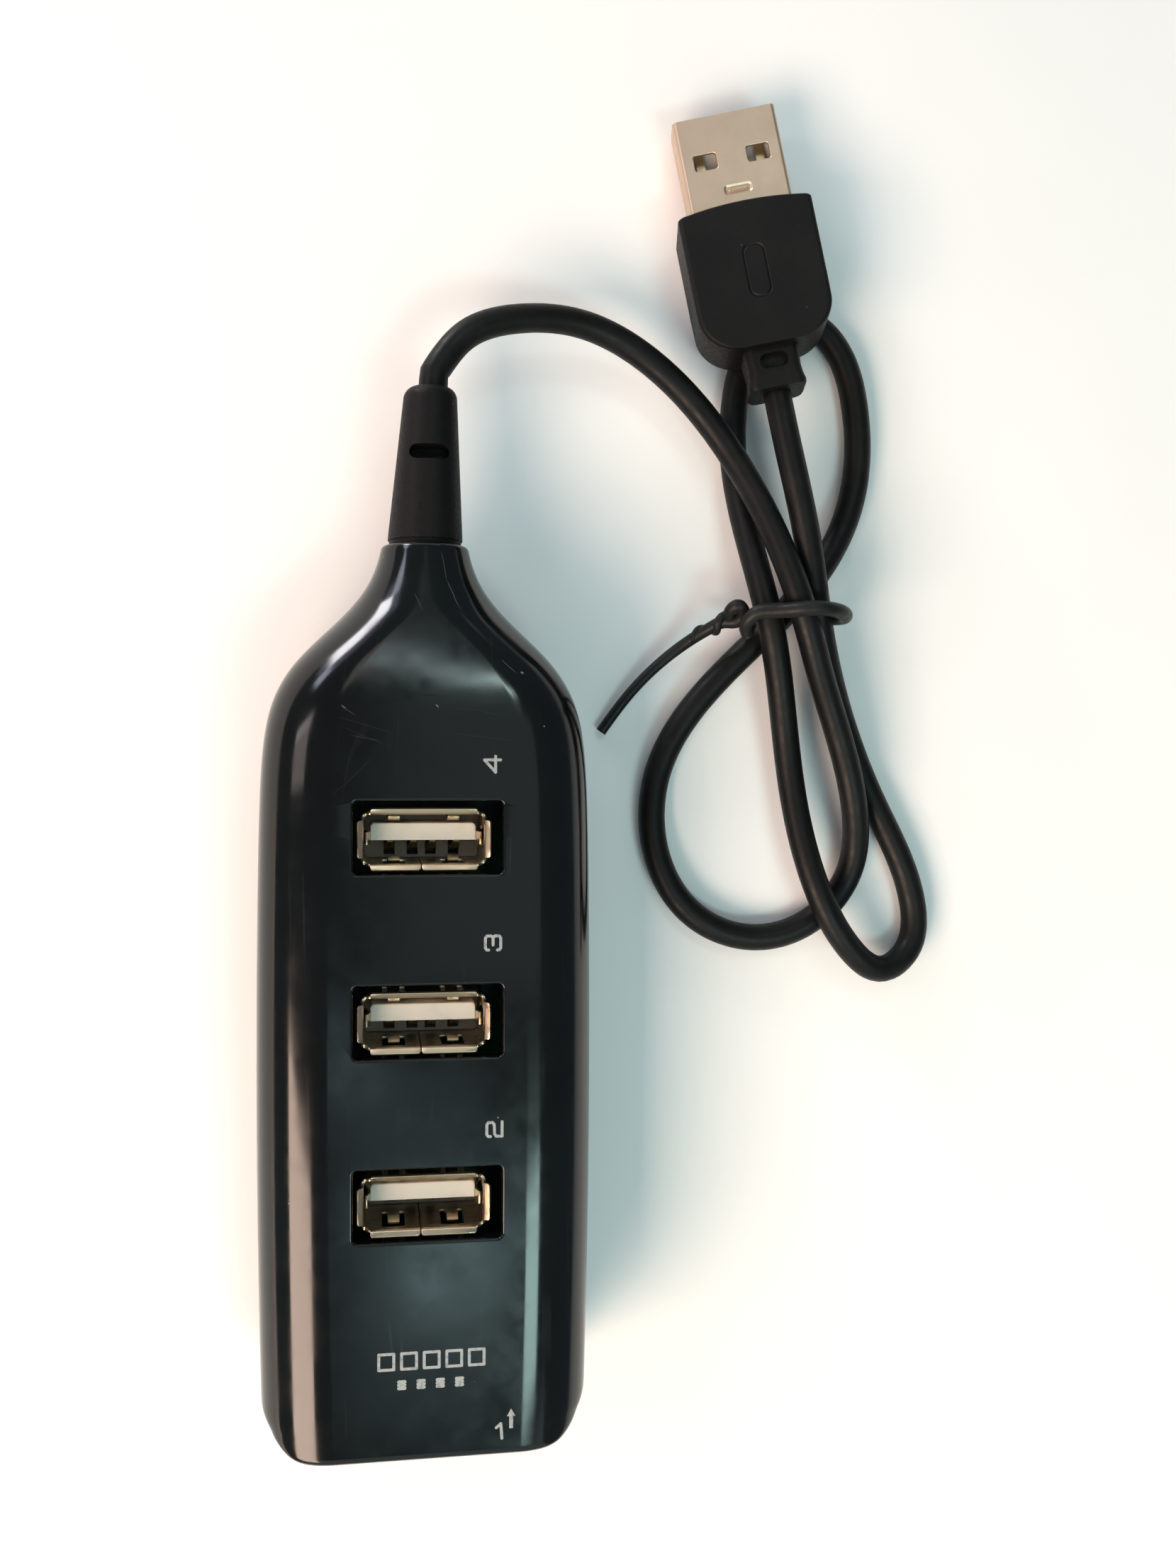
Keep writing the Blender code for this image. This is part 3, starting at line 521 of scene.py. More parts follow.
def gloss_black():
    """Moulded gloss plastic: a patchy blue-green tint painted into its colour as a reflection of the
    surroundings, soft flow marks, hairlines, scratches and dust.
    """
    look = Surface("gloss_black", (0.003, 0.0032, 0.0032), 0.11, IOR=1.405)
    # Painted reflection: patches of blue-green in the black stand in for a teal room mirrored in the
    # gloss.
    painted_teal_reflection = look.spread(look.noise(42.0, 3.0), 0.38, 0.66)
    base = look.blend(painted_teal_reflection, (0.0026, 0.0027, 0.0027), (0.0034, 0.0050, 0.0052))
    hairs = look.plus(look.scratches(170.0, 1.35), look.scratches(230.0, -1.75))
    hairs = look.plus(hairs, look.scratches(200.0, 0.5))
    dust = look.specks(420.0, 0.04, 0.10)
    marked = look.plus(look.fade(hairs, 0.02), look.fade(dust, 0.8))
    for *place, strength in CASE_MARKS:
        marked = look.plus(marked, look.fade(look.mark(*place), strength))
    look.colour(look.blend(marked, base, (0.30, 0.30, 0.29)))
    haze = look.spread(look.noise(300.0, 4.0), 0.35, 0.75, 0.10, 0.18)
    look.roughness(look.plus(haze, look.fade(marked, 0.5)))
    look.relief((55.0, 2.0, 0.00005, 0.3), (2600.0, 2.0, 0.000002, 0.2))
    return look.material


def matte_rubber(name, base, worn, roughness, grain):
    """Moulded black rubber with a fine even grain, paler where it has rubbed."""
    look = Surface(name, base, roughness, Specular_IOR_Level=0.18)
    rubbed = look.spread(look.noise(120.0, 5.0), 0.45, 0.75)
    fine = look.noise(grain, 3.0)
    tone = look.blend(rubbed, base, worn)
    dust = look.specks(700.0, 0.07, 0.05)
    look.colour(look.blend(dust, tone, (0.12, 0.12, 0.11)))
    look.roughness(look.spread(fine, 0.3, 0.7, roughness - 0.08, roughness + 0.1))
    look.relief((90.0, 1.0, 0.0004, 0.35))
    look.bump(look.noise(900.0, 4.0, (1.0, 0.12, 1.0)), 0.00005, 0.35)
    look.bump(fine, 0.00005, 0.5)
    look.relief((grain * 0.3, 3.0, 0.00006, 0.2))
    return look.material


def cord_jacket():
    """Soft black jacket, half glossy, with faint rub marks along it."""
    look = Surface("cord_jacket", (0.006, 0.006, 0.006), 0.36, Specular_IOR_Level=0.19)
    rubbed = look.spread(look.noise(200.0, 5.0), 0.5, 0.8)
    look.colour(look.blend(rubbed, (0.0035, 0.0035, 0.0035), (0.008, 0.0075, 0.007)))
    look.uneven_gloss(900.0, 4.0, 0.38, 0.54)
    look.relief((1800.0, 3.0, 0.00002, 0.3), (160.0, 2.0, 0.0001, 0.2))
    return look.material


def nickel(name, tint, tarnish, roughness, streak, depth):
    """Plated sheet: warm metal with drawn streaks, small pits and patches of tarnish."""
    look = Surface(name, tint, roughness, 1.0)
    patches = look.spread(look.noise(420.0, 4.0), 0.42, 0.72)
    streaks = look.noise(500.0, 3.0, streak)
    tone = look.blend(patches, tint, tarnish)
    darker = tuple(channel * 0.72 for channel in tint)
    look.colour(look.blend(look.spread(streaks, 0.48, 0.72, 0.0, depth), tone, darker))
    look.roughness(look.spread(streaks, 0.3, 0.7, roughness - 0.1 * depth, roughness + 0.15 * depth))
    look.bump(streaks, 0.00002, 0.35 * depth)
    look.relief((3000.0, 2.0, 0.00001, 0.5))
    return look.material


def white_plastic(name, tone, marked):
    """Satin off-white plastic, a little translucent, with faint darker marks."""
    look = Surface(name, tone, 0.45, Subsurface_Weight=0.4, Subsurface_Radius=(1.0, 0.8, 0.6),
                   Subsurface_Scale=0.001)
    marks = look.spread(look.noise(500.0, 5.0), 0.55, 0.8, 0.0, 0.5)
    look.colour(look.blend(marks, tone, marked))
    look.uneven_gloss(1500.0, 3.0, 0.38, 0.55)
    look.relief((2500.0, 2.0, 0.00001, 0.3))
    return look.material


def ink():
    """Printed light grey ink, slightly broken up."""
    look = Surface("print_ink", (0.5, 0.5, 0.5), 0.5)
    thin = look.spread(look.noise(2200.0, 4.0), 0.5, 0.75)
    look.colour(look.blend(thin, (0.30, 0.31, 0.31), (0.13, 0.15, 0.16)))
    look.uneven_gloss(1500.0, 2.0, 0.4, 0.6)
    look.relief((4000.0, 2.0, 0.000004, 0.3))
    return look.material


def plain_part(name, colour, other, roughness, metallic=0.0):
    """A hidden or small part: two tones of a colour, uneven gloss and a fine grain."""
    scale = 600.0
    look = Surface(name, colour, roughness, metallic)
    look.colour(look.blend(look.spread(look.noise(scale, 4.0), 0.35, 0.7), colour, other))
    look.uneven_gloss(scale * 2, 3.0, roughness - 0.08, roughness + 0.1)
    look.relief((scale * 3, 2.0, 0.00001, 0.4))
    return look.material


def floor_paint():
    """Pale matte paper."""
    look = Surface("pale_floor", (0.84, 0.84, 0.84), 0.9, Specular_IOR_Level=0.1)
    tone = look.spread(look.noise(30.0, 3.0), 0.3, 0.7)
    look.colour(look.blend(tone, (0.83, 0.83, 0.83), (0.85, 0.85, 0.85)))
    return look.material


# ---- case

def half_height_at(y):
    """Half the case's height: even along the body, then down an even slope to the neck's mouth."""
    here, flat = (math.log1p(math.exp((place - TOP_SLOPE_Y) / TOP_SLOPE_CURVE))
                  for place in (y, TOP_FLAT_END))
    return MID_Z - TOP_SLOPE * TOP_SLOPE_CURVE * max(here - flat, 0.0)


def case_section(y, end_y, inset, top_steps, base_steps):
    """Outline of the case across Y, pulled in by inset, with the flat end at end_y."""
    blend = 1 / (1 + math.exp((y - NECK_START_Y) / NECK_CURVE))
    widest = CASE_HALF_WIDTH - BARREL * (y - WIDEST_Y) ** 2
    half_width = NECK_HALF_WIDTH + (widest - NECK_HALF_WIDTH) * blend
    half_height = half_height_at(y)
    inset += arc_inset(y - end_y, END_EDGE_ROUND) + arc_inset(NECK_MOUTH_Y - y, MOUTH_EDGE_ROUND)
    shoulder, base = ([soft_min(half, most, ROUND_SOFTNESS)
                       for half, most in zip((half_width, half_height), rounding)]
                      for rounding in ((SHOULDER_WIDTH, SHOULDER_DROP), (BASE_ROUND, BASE_ROUND)))
    corner_inset = arc_inset(y - end_y, CORNER_RADIUS - inset)
    limit_x = half_width - inset - corner_inset
    softness = min(CORNER_SOFTNESS, corner_inset)
    points = []
    for corner, (sign_x, sign_z) in enumerate(CORNERS):
        wide, tall = shoulder if sign_z > 0 else base
        steps = top_steps if sign_z > 0 else base_steps
        for step in range(steps + 1):
            angle = math.pi / 2 * (corner + step / steps)
            x = sign_x * (half_width - wide) + (wide - inset) * math.cos(angle)
            z = sign_z * (half_height - tall) + (tall - inset) * math.sin(angle)
            x = math.copysign(soft_min(abs(x), limit_x, softness), x)
            points.append((x, y, MID_Z + z))
    return points


def case_solid(name, end_y, top_y, inset, fine):
    """The case as one solid, or its hollow when inset is the wall's thickness."""
    corner = [end_y + CORNER_RADIUS * (1 - math.cos(math.pi / 2 * i / (6 * fine)))
              for i in range(6 * fine)]
    straight = np.linspace(end_y + CORNER_RADIUS, BODY_END_Y, 6 * fine + 1)
    neck = np.linspace(BODY_END_Y, top_y - MOUTH_EDGE_ROUND, 18 * fine + 1)[1:]
    mouth = [top_y - MOUTH_EDGE_ROUND * (1 - math.sin(math.pi / 2 * i / 6)) for i in range(1, 7)]
    stations = corner + list(straight) + list(neck) + mouth
    return loft(name, [case_section(y, end_y, inset, 9 * fine, 4 * fine) for y in stations])


def cutout_tool():
    """A cutter for a socket's opening, which also rounds over the edge at z = 0."""
    levels = rim_levels(-CUTOUT_REACH, 0.0, CUTOUT_REACH, CUTOUT_EDGE_ROUND, 4)
    return loft("cutout_tool", rounded_rings(CUTOUT_WIDTH, CUTOUT_HEIGHT, CUTOUT_ROUND, levels))


def socket_place(number):
    """Matrix of a socket: its mouth at z = 0 and facing up; port 1 faces out of the flat end."""
    low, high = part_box(f"port_{number}_shell")
    middle = (Vector(low) + Vector(high)) / 2
    if number == 1:
        return Matrix.Translation((middle.x, low[1], middle.z)) @ FACING_END
    return Matrix.Translation((middle.x, middle.y, high[2]))


def cutout_place(number):
    """Matrix of a cut-out: its middle on the case's surface."""
    x, y, z = socket_place(number).translation
    if number == 1:
        return Matrix.Translation((x + CUTOUT_SHIFT[0], CASE_END_Y, z)) @ FACING_END
    return Matrix.Translation((x + CUTOUT_SHIFT[0], y + CUTOUT_SHIFT[1], CASE_HEIGHT))


def build_case(material):
    """Upper and lower shell with a fine seam, cut-outs, neck mouth, posts and screw sinks."""
    size = 90 * MM
    along_y = Matrix.Rotation(-math.pi / 2, 4, "X")
    cavity_top = NECK_MOUTH_Y - NECK_WALL
    hollow = case_solid("hollow", CASE_END_Y + WALL, cavity_top, WALL, 1)
    bore = cylinder("bore", BORE_RADIUS, 0, 9 * MM)
    recess = cylinder("recess", RECESS_RADIUS, 0, 4 * MM, 96)
    below = box("below", (-size, -size, -size), (size, size, MID_Z + SEAM_GAP / 2))
    above = box("above", (-size, -size, MID_Z - SEAM_GAP / 2), (size, size, size))
    outer = case_solid("case_outer", CASE_END_Y, NECK_MOUTH_Y, 0.0, 4)
    window = cutout_tool()

    top = new_object("case_top_skin", outer)
    bottom = new_object("case_bottom_skin", outer.copy())
    shared = [(hollow, IN_PLACE, CUT),
              (bore, Matrix.Translation((0, cavity_top - MM, MID_Z)) @ along_y, CUT),
              (recess, Matrix.Translation((0, NECK_MOUTH_Y - RECESS_DEPTH, MID_Z)) @ along_y, CUT),
              (window, cutout_place(1), CUT)]
    top_tools = shared + [(below, IN_PLACE, CUT)]
    bottom_tools = shared + [(above, IN_PLACE, CUT)]
    top_tools += [(window, cutout_place(number), CUT) for number in (2, 3, 4)]
    for y in SCREW_Y:
        for tools, name, radius, low, high, operation in (
                (top_tools, "post", 2.6, MID_Z + 0.3 * MM, CASE_HEIGHT - WALL / 2, JOIN),
                (top_tools, "pilot", 1.2, MID_Z - MM, CASE_HEIGHT - 3.5 * MM, CUT),
                (bottom_tools, "boss", 2.9, WALL / 2, MID_Z - 0.3 * MM, JOIN),
                (bottom_tools, "hole", 1.3, -MM, MID_Z + MM, CUT),
                (bottom_tools, "sink", 2.35, -MM, 2.2 * MM, CUT)):
            post = cylinder(name, radius * MM, low, high)
            tools.append((post, Matrix.Translation((0, y, 0)), operation))
    for shell, tools, node in ((top, top_tools, "case_top"), (bottom, bottom_tools, "case_bottom")):
        carve(shell, tools)
        even_normals(shell)
        piece(shell, material, [node])


# ---- sockets

def build_socket_shell(number, material):
    """A folded sheet shell: split along one side, flared lips, and springs pressed inward."""
    half_x = (SHELL_WIDTH - SHEET) / 2
    half_y = (SHELL_HEIGHT - SHEET) / 2
    radius = SHELL_ROUND - SHEET / 2
    run_x = half_x - radius
    run_y = half_y - radius
    lip_x = run_x - 0.1 * MM
    seam_low = SHELL_SEAM_X - SHELL_SEAM_HALF
    seam_high = SHELL_SEAM_X + SHELL_SEAM_HALF

    def cuts(centre, window, finger):
        return [centre - window, centre - finger, centre + finger, centre + window]

    right, left = (cuts(centre, 1.2 * MM, 0.68 * MM) for centre in (3.1 * MM, -3.1 * MM))
    side = cuts(0.0, 1.1 * MM, 0.75 * MM)
    top = [-run_x, -lip_x] + left + [-0.7 * MM, 0.7 * MM] + right + [lip_x, run_x]
    side_places = [-run_y] + side + [run_y]
    # Each straight wall: outward way, places along it, its lip, its springs
    straights = (
        ((0, -1), [seam_high, 0.6 * MM] + right + [lip_x, run_x], (seam_high, lip_x), right),
        ((1, 0), side_places, (-run_y, run_y), side),
        ((0, 1), top[::-1], (-lip_x, lip_x), left + right),
        ((-1, 0), side_places[::-1], (-run_y, run_y), side),
        ((0, -1), [-run_x, -lip_x] + left + [-0.9 * MM, seam_low], (-lip_x, seam_low), left),
    )
    corners = ((run_x, -run_y, -90), (run_x, run_y, 0), (-run_x, run_y, 90), (-run_x, -run_y, 180))
    depths = [-LIP_RISE, -0.9 * MM, -1.35 * MM, -6.0 * MM, -SHELL_LENGTH]
    window_row = 2
    corner_steps = 6
    shape = bmesh.new()

    def column(x, y, drop=0.0):
        return [shape.verts.new((x, y, z)) for z in [depths[0] - drop] + depths[1:]]

    def join(near, far, skip_window=False):
        for row in range(len(depths) - 1):
            if not (skip_window and row == window_row):
                shape.faces.new((near[row], near[row + 1], far[row + 1], far[row]))

    last = None
    for index, (outward, places, lip, springs) in enumerate(straights):
        columns = [(place, column(outward[0] * half_x or place, outward[1] * half_y or place))
                   for place in places]
        if last:
            centre_x, centre_y, start = corners[index - 1]
            for step in range(1, corner_steps):
                angle = math.radians(start + 90 * step / corner_steps)
                bent = column(centre_x + radius * math.cos(angle), centre_y + radius * math.sin(angle),
                              CORNER_DROP * math.sin(math.pi * step / corner_steps))
                join(last, bent)
                last = bent
            join(last, columns[0][1])
        for (here, near), (there, far) in zip(columns, columns[1:]):
            middle = (here + there) / 2
            join(near, far, any(springs[i] < middle < springs[i + 3] for i in range(0, len(springs), 4)))
        last = columns[-1][1]
        add_lip(shape, columns, outward, *lip)
        for i in range(0, len(springs), 4):
            add_spring(shape, columns, outward, *springs[i + 1:i + 3])
    item = new_object(f"socket_shell_{number}", mesh_from("socket_shell", shape, 40.0))
    settle(item.modifiers.new("sheet", "SOLIDIFY"), thickness=SHEET, offset=0.0, use_even_offset=True)
    settle(item.modifiers.new("edge", "BEVEL"), width=0.05 * MM, segments=2, limit_method="ANGLE",
           angle_limit=math.radians(55))
    bpy.context.view_layer.update()
    freeze(item)
    shade(item.data, 45)
    piece(item, material, [f"port_{number}_shell"], socket_place(number))


def between(columns, low, high):
    """The columns of a wall from one place to another, as (place, column)."""
    return [(place, column) for place, column in columns if low - TINY <= place <= high + TINY]


def beside(shape, vertex, outward, out, along, up):
    """A new vertex beside one of a wall's: that far outward, along the wall and up."""
    x, y, z = vertex.co
    return shape.verts.new((x + outward[0] * out + abs(outward[1]) * along,
                            y + outward[1] * out + abs(outward[0]) * along, z + up))


def add_lip(shape, columns, outward, low, high):
    """A flared lip along the mouth edge between two places, its free corners rounded."""
    chosen = between(columns, low, high)
    bend = 0.3 * MM
    flare = math.radians(52)
    straight = 0.52 * MM
    corner = 0.3 * MM
    profile = []
    for step in range(1, 6):
        angle = flare * step / 5
        profile.append((bend * (1 - math.cos(angle)), bend * math.sin(angle), 0.0))
    run, rise, _ = profile[-1]
    for share in (0.4, 0.65, 0.82, 0.93, 1.0):
        along = straight * share
        pull = arc_inset(straight - along, corner)
        profile.append((run + along * math.sin(flare), rise + along * math.cos(flare), pull))
    rows = [[column[0] for _, column in chosen]]
    for out, up, pull in profile:
        rows.append([beside(shape, column[0], outward, out,
                            pull * (1 - 2 * (place - low) / (high - low)), up)
                     for place, column in chosen])
    skin(shape, rows)


def add_spring(shape, columns, outward, low, high):
    """A spring finger: rooted deep in the wall, bowed inward and turned back at its free end."""
    chosen = between(columns, low, high)
    middle = (low + high) / 2
    reach = 4.35 * MM
    bow = 0.75 * MM
    turn_back = 0.75
    narrowing = 0.12
    steps = 10
    rows = [[column[3] for _, column in chosen]]
    for step in range(1, steps + 1):
        share = step / steps
        inward = bow * math.sin(math.pi * (share / 1.5))
        if share > turn_back:
            inward *= 1.0 - 1.6 * (share - turn_back)
        rows.append([beside(shape, column[3], outward, -inward,
                            narrowing * share * (middle - place), reach * share)
                     for place, column in chosen])
    skin(shape, rows)


def tongue_outline(inset):
    """Across a tongue: round corners away from the contacts, nearly square ones beside them."""
    half = TONGUE_WIDTH / 2 - inset
    high = TONGUE_HIGH - inset
    low = TONGUE_LOW + inset
    far = 0.5 * MM
    near = 0.08 * MM
    points = []
    for quarter, (side, centre_y, radius) in enumerate((
            (1, high - far, far), (-1, high - far, far), (-1, low + near, near), (1, low + near, near))):
        for step in range(7):
            angle = math.radians(90 * quarter + 15 * step)
            points.append((side * (half - radius) + radius * math.cos(angle),
                           centre_y + radius * math.sin(angle)))
    return points


def build_socket_inside(number, plastic, lit_base_plastic, metal):
    """The white tongue on its base, and four bowed contacts that come out of slots in the base. The base
    is painted lighter: a brighter, yellower copy of the same plastic stands in for light on the deep
    socket floor.
    """
    front = -TONGUE_RECESS
    ends = ((-BASE_DEPTH - 0.5 * MM, 0.0), (front - 0.14 * MM, 0.0), (front - 0.07 * MM, 0.02 * MM),
            (front - 0.02 * MM, 0.07 * MM), (front, 0.14 * MM))
    rings = [[(x, y, z) for x, y in tongue_outline(inset)] for z, inset in ends]
    tongue = new_object(f"socket_tongue_{number}", loft("socket_tongue", rings))
    play = SHEET + 0.05 * MM
    outline = rounded_rectangle(2 * (SHELL_WIDTH / 2 - play), 2 * (SHELL_HEIGHT / 2 - play), 0.55 * MM)
    base = prism("base", outline, (-SHELL_LENGTH + 0.3 * MM, -BASE_DEPTH))
    tools = [(base, IN_PLACE, JOIN)]
    for x in CONTACT_X:
        slot = box("slot", (x - 0.6 * MM, TONGUE_LOW - 1.95 * MM, -BASE_DEPTH - 4.8 * MM),
                   (x + 0.6 * MM, TONGUE_LOW - 0.02 * MM, -BASE_DEPTH + MM))
        tools.append((slot, IN_PLACE, CUT))
    carve(tongue, tools)
    even_normals(tongue)
    # Painted light: faces at the base's end take the brighter copy of the tongue's plastic, as if the
    # socket floor were better lit.
    for face in tongue.data.polygons:
        face.material_index = 1 if face.center.z < -BASE_DEPTH + 0.3 * MM else 0
    piece(tongue, plastic, [f"port_{number}_tongue"], socket_place(number))
    tongue.data.materials.append(lit_base_plastic)

    path = smooth_curve(np.array(CONTACT_BOW_MM) * MM, 22)
    for index, x in enumerate(CONTACT_X, start=1):
        rings = []
        for i, (y, z) in enumerate(path):
            ahead = path[min(i + 1, len(path) - 1)] - path[max(i - 1, 0)]
            ahead /= np.linalg.norm(ahead)
            side = np.array((ahead[1], -ahead[0])) * 0.08 * MM
            half = 0.47 * MM - 0.06 * MM * max(i - len(path) + 4, 0)
            low = (y + TONGUE_LOW - side[0], z - side[1])
            high = (y + TONGUE_LOW + side[0], z + side[1])
            rings.append([(x - half, *low), (x + half, *low), (x + half, *high), (x - half, *high)])
        contact = new_object(f"socket_contact_{number}_{index}", loft("socket_contact", rings, 30.0))
        piece(contact, metal, [f"port_{number}_contact_{index}"], socket_place(number))


# ---- strain relief, cord and tie

def build_strain_relief(material):
    """The tapered sleeve with its flange, rounded end and slots."""
    low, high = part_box("strain_relief")
    flange_y = low[1] / MM
    mouth_y = NECK_MOUTH_Y / MM
    end_y = high[1] / MM - 0.3
    # Radii along the sleeve, in mm: its flange, its waist, then a step and a groove at the mouth
    profile = [(flange_y, 3.9), (flange_y + 1.8, 3.9), (flange_y + 1.8, 2.85)]
    profile += [(mouth_y + ahead, radius) for ahead, radius in (
        (-0.85, 2.85), (-0.85, 4.05), (-0.75, 4.13), (0.05, 4.13), (0.15, 3.95), (0.5, 3.95),
        (0.62, 4.08))]
    tip_length = 1.4
    straight_end = end_y - tip_length
    for y in np.linspace(mouth_y + 1.0, straight_end, 40):
        profile.append((y, 4.15 - SLEEVE_TAPER * max(y - mouth_y, 0.0)))
    tip = profile[-1][1]
    for step in range(1, 11):
        angle = math.pi / 2 * step / 10
        profile.append((straight_end + tip_length * math.sin(angle), tip - 1.25 * (1 - math.cos(angle))))
    profile += [(end_y, 1.72), (end_y - 1.6, 1.66)]
    rings = []
    for y, radius in profile:
        lean = SLEEVE_LEAN * max(y - mouth_y, 0.0)
        rings.append([((x + lean) * MM, y * MM, MID_Z + z * MM) for x, z in circle(radius, 72)])
    relief = new_object("strain_relief_skin", loft("strain_relief_skin", rings))
    levels = in_mm((-2.6, -0.25), (-2.4, -0.05), (-2.2, 0.0), (2.0, 0.0))
    slot = loft("relief_slot", rounded_rings(4.3 * MM, 1.6 * MM, 0.78 * MM, levels))
    x, y, z = in_mm(SLEEVE_SLOT_MM)[0]
    places = [Matrix.Translation((x, y, MID_Z + side * z)) @ Matrix.Rotation(turn, 4, "Y")
              for side, turn in ((-1, math.pi), (1, 0))]
    carve(relief, [(slot, place, CUT) for place in places])
    even_normals(relief, 38.0)
    piece(relief, material, ["strain_relief"])


def tube(name, points, radius, resolution):
    """A round curve tube with closed ends along the given points."""
    data = settle(bpy.data.curves.new(name, "CURVE"), dimensions="3D", bevel_depth=radius,
                  bevel_resolution=resolution, use_fill_caps=True)
    spline = settle(data.splines.new("POLY"), use_smooth=True)
    spline.points.add(len(points) - 1)
    for target, point in zip(spline.points, points):
        settle(target, co=(*point[:3], 1.0), radius=point[3] if len(point) > 3 else 1.0)
    return new_object(name, data)


def cord_points(count):
    """The cord's centreline: from inside the sleeve straight out, then smoothly to the plug."""
    route = np.array(CORD_ROUTE_MM) * MM
    inside = route[:1] - CORD_INSIDE
    points = np.vstack([inside, route[:1], smooth_curve(route[1:], count)])
    points[:, 2] = np.maximum(points[:, 2], CORD_LOWEST)
    return points


def build_cord(material):
    cord = tube("cord_line", cord_points(CORD_STEPS), CORD_RADIUS, 8)
    return piece(cord, material, ["cord"])


def build_tie(material):
    """The plastic-covered wire tie, and its short end wound round the start of its tail."""
    points = smooth_curve(np.array(TIE_ROUTE_MM) * MM, TIE_STEPS)
    points[:, 3] /= MM
    points[:, 2] = np.maximum(points[:, 2], TIE_RADIUS + 0.05 * MM)
    tie = tube("tie_line", points, TIE_RADIUS, 6)
    piece(tie, material, ["twist_tie"])
    near = np.linalg.norm(points[:, :3] - np.array(TIE_TWIST_MM) * MM, axis=1)
    half = TIE_STEPS // 2
    first = half + int(near[half:].argmin())
    strand = points[first:first + WINDING_STEPS + 1, :3]
    winding = []
    for index, point in enumerate(strand):
        share = index / WINDING_STEPS
        ahead = Vector(strand[min(index + 1, WINDING_STEPS)] - strand[max(index - 1, 0)]).normalized()
        across = ahead.cross(Vector((0, 0, 1))).normalized()
        turn = 2 * math.pi * TIE_TURNS * share
        reach = 0.75 * MM * (1 - 0.45 * share ** 3)
        offset = (across * math.cos(turn) + across.cross(ahead) * math.sin(turn)) * reach
        winding.append((*(Vector(point) + offset), 0.85 - 0.45 * share))
    wound = tube("tie_end", winding, TIE_RADIUS, 6)
    return [tie, piece(wound, material, [])]


# ---- plug

def plug_place():
    """Matrix of the plug: origin in the middle of its open end, +Y out of that end."""
    low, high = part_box("plug_shell")
    turn = Euler((-PLUG_PITCH, -PLUG_ROLL, PLUG_TURN)).to_matrix().to_4x4()
    middle = (Vector(low) + Vector(high)) / 2
    return Matrix.Translation(middle - turn @ Vector((0, -PLUG_LENGTH / 2, 0))) @ turn


def ring_solid(name, rings):
    """A ring-shaped solid: the last of its rings joins the first."""
    shape = bmesh.new()
    add_rings(shape, rings, caps=False)
    bmesh.ops.remove_doubles(shape, verts=shape.verts, dist=TINY)
    return mesh_from(name, shape)


def build_plug_shell(material):
    """The plug's folded metal shell with its windows and pressed detent."""
    outer = rounded_rectangle(PLUG_WIDTH, PLUG_HEIGHT, 0.55 * MM)
    inner = rounded_rectangle(PLUG_WIDTH - 2 * PLUG_SHEET, PLUG_HEIGHT - 2 * PLUG_SHEET, 0.3 * MM)
    edge = 0.08 * MM
    rim = rounded_rectangle(PLUG_WIDTH - 2 * edge, PLUG_HEIGHT - 2 * edge, 0.5 * MM)
    rings = [[(x, y, z) for x, z in points] for points, y in (
        (rim, 0.0), (outer, -edge), (outer, -PLUG_LENGTH), (inner, -PLUG_LENGTH), (inner, 0.0),
        (rim, 0.0))]
    shell = new_object("plug_shell_skin", ring_solid("plug_shell_skin", rings))
    top = PLUG_HEIGHT / 2
    window = loft("window", rounded_rings(2.6 * MM, 1.9 * MM, 0.3 * MM,
                                          rim_levels(0.0, top, top + MM, 0.14 * MM, 3)))
    x, y = in_mm(PLUG_WINDOW_MM)[0]
    tools = [(window, Matrix.Translation((side * x, y, 0)) @ Matrix.Rotation(turn, 4, "Y"), CUT)
             for side in (-1, 1) for turn in (0.0, math.pi)]
    for name, y, size, levels, operation in (
            ("trough", -9.2, (3.0, 0.95, 0.3), ((-0.2, -0.12), (-0.14, 0.0), (-0.02, 0.13), (0.0, 0.2),
                                                (0.3, 0.2)), CUT),
            ("lip", -9.12, (2.3, 0.42, 0.2), ((-0.25, 0.0), (-0.08, 0.0), (-0.03, -0.05),
                                              (-0.01, -0.14)), JOIN)):
        pressed = loft(name, rounded_rings(*in_mm(size)[0], in_mm(*levels)))
        tools.append((pressed, Matrix.Translation((0, y * MM, top)), operation))
    carve(shell, tools)
    even_normals(shell)
    return piece(shell, material, ["plug_shell"], plug_place())


def grip_ring(y, half_width, top, bottom, radius, arch):
    """Outline across the plug's grip, its front edge bowed by arch."""
    outline = rounded_rectangle(2 * half_width, top + bottom, radius, 8, 9)
    return [(x, y - arch * (x / GRIP_HALF_WIDTH) ** 2, z + (top - bottom) / 2) for x, z in outline]


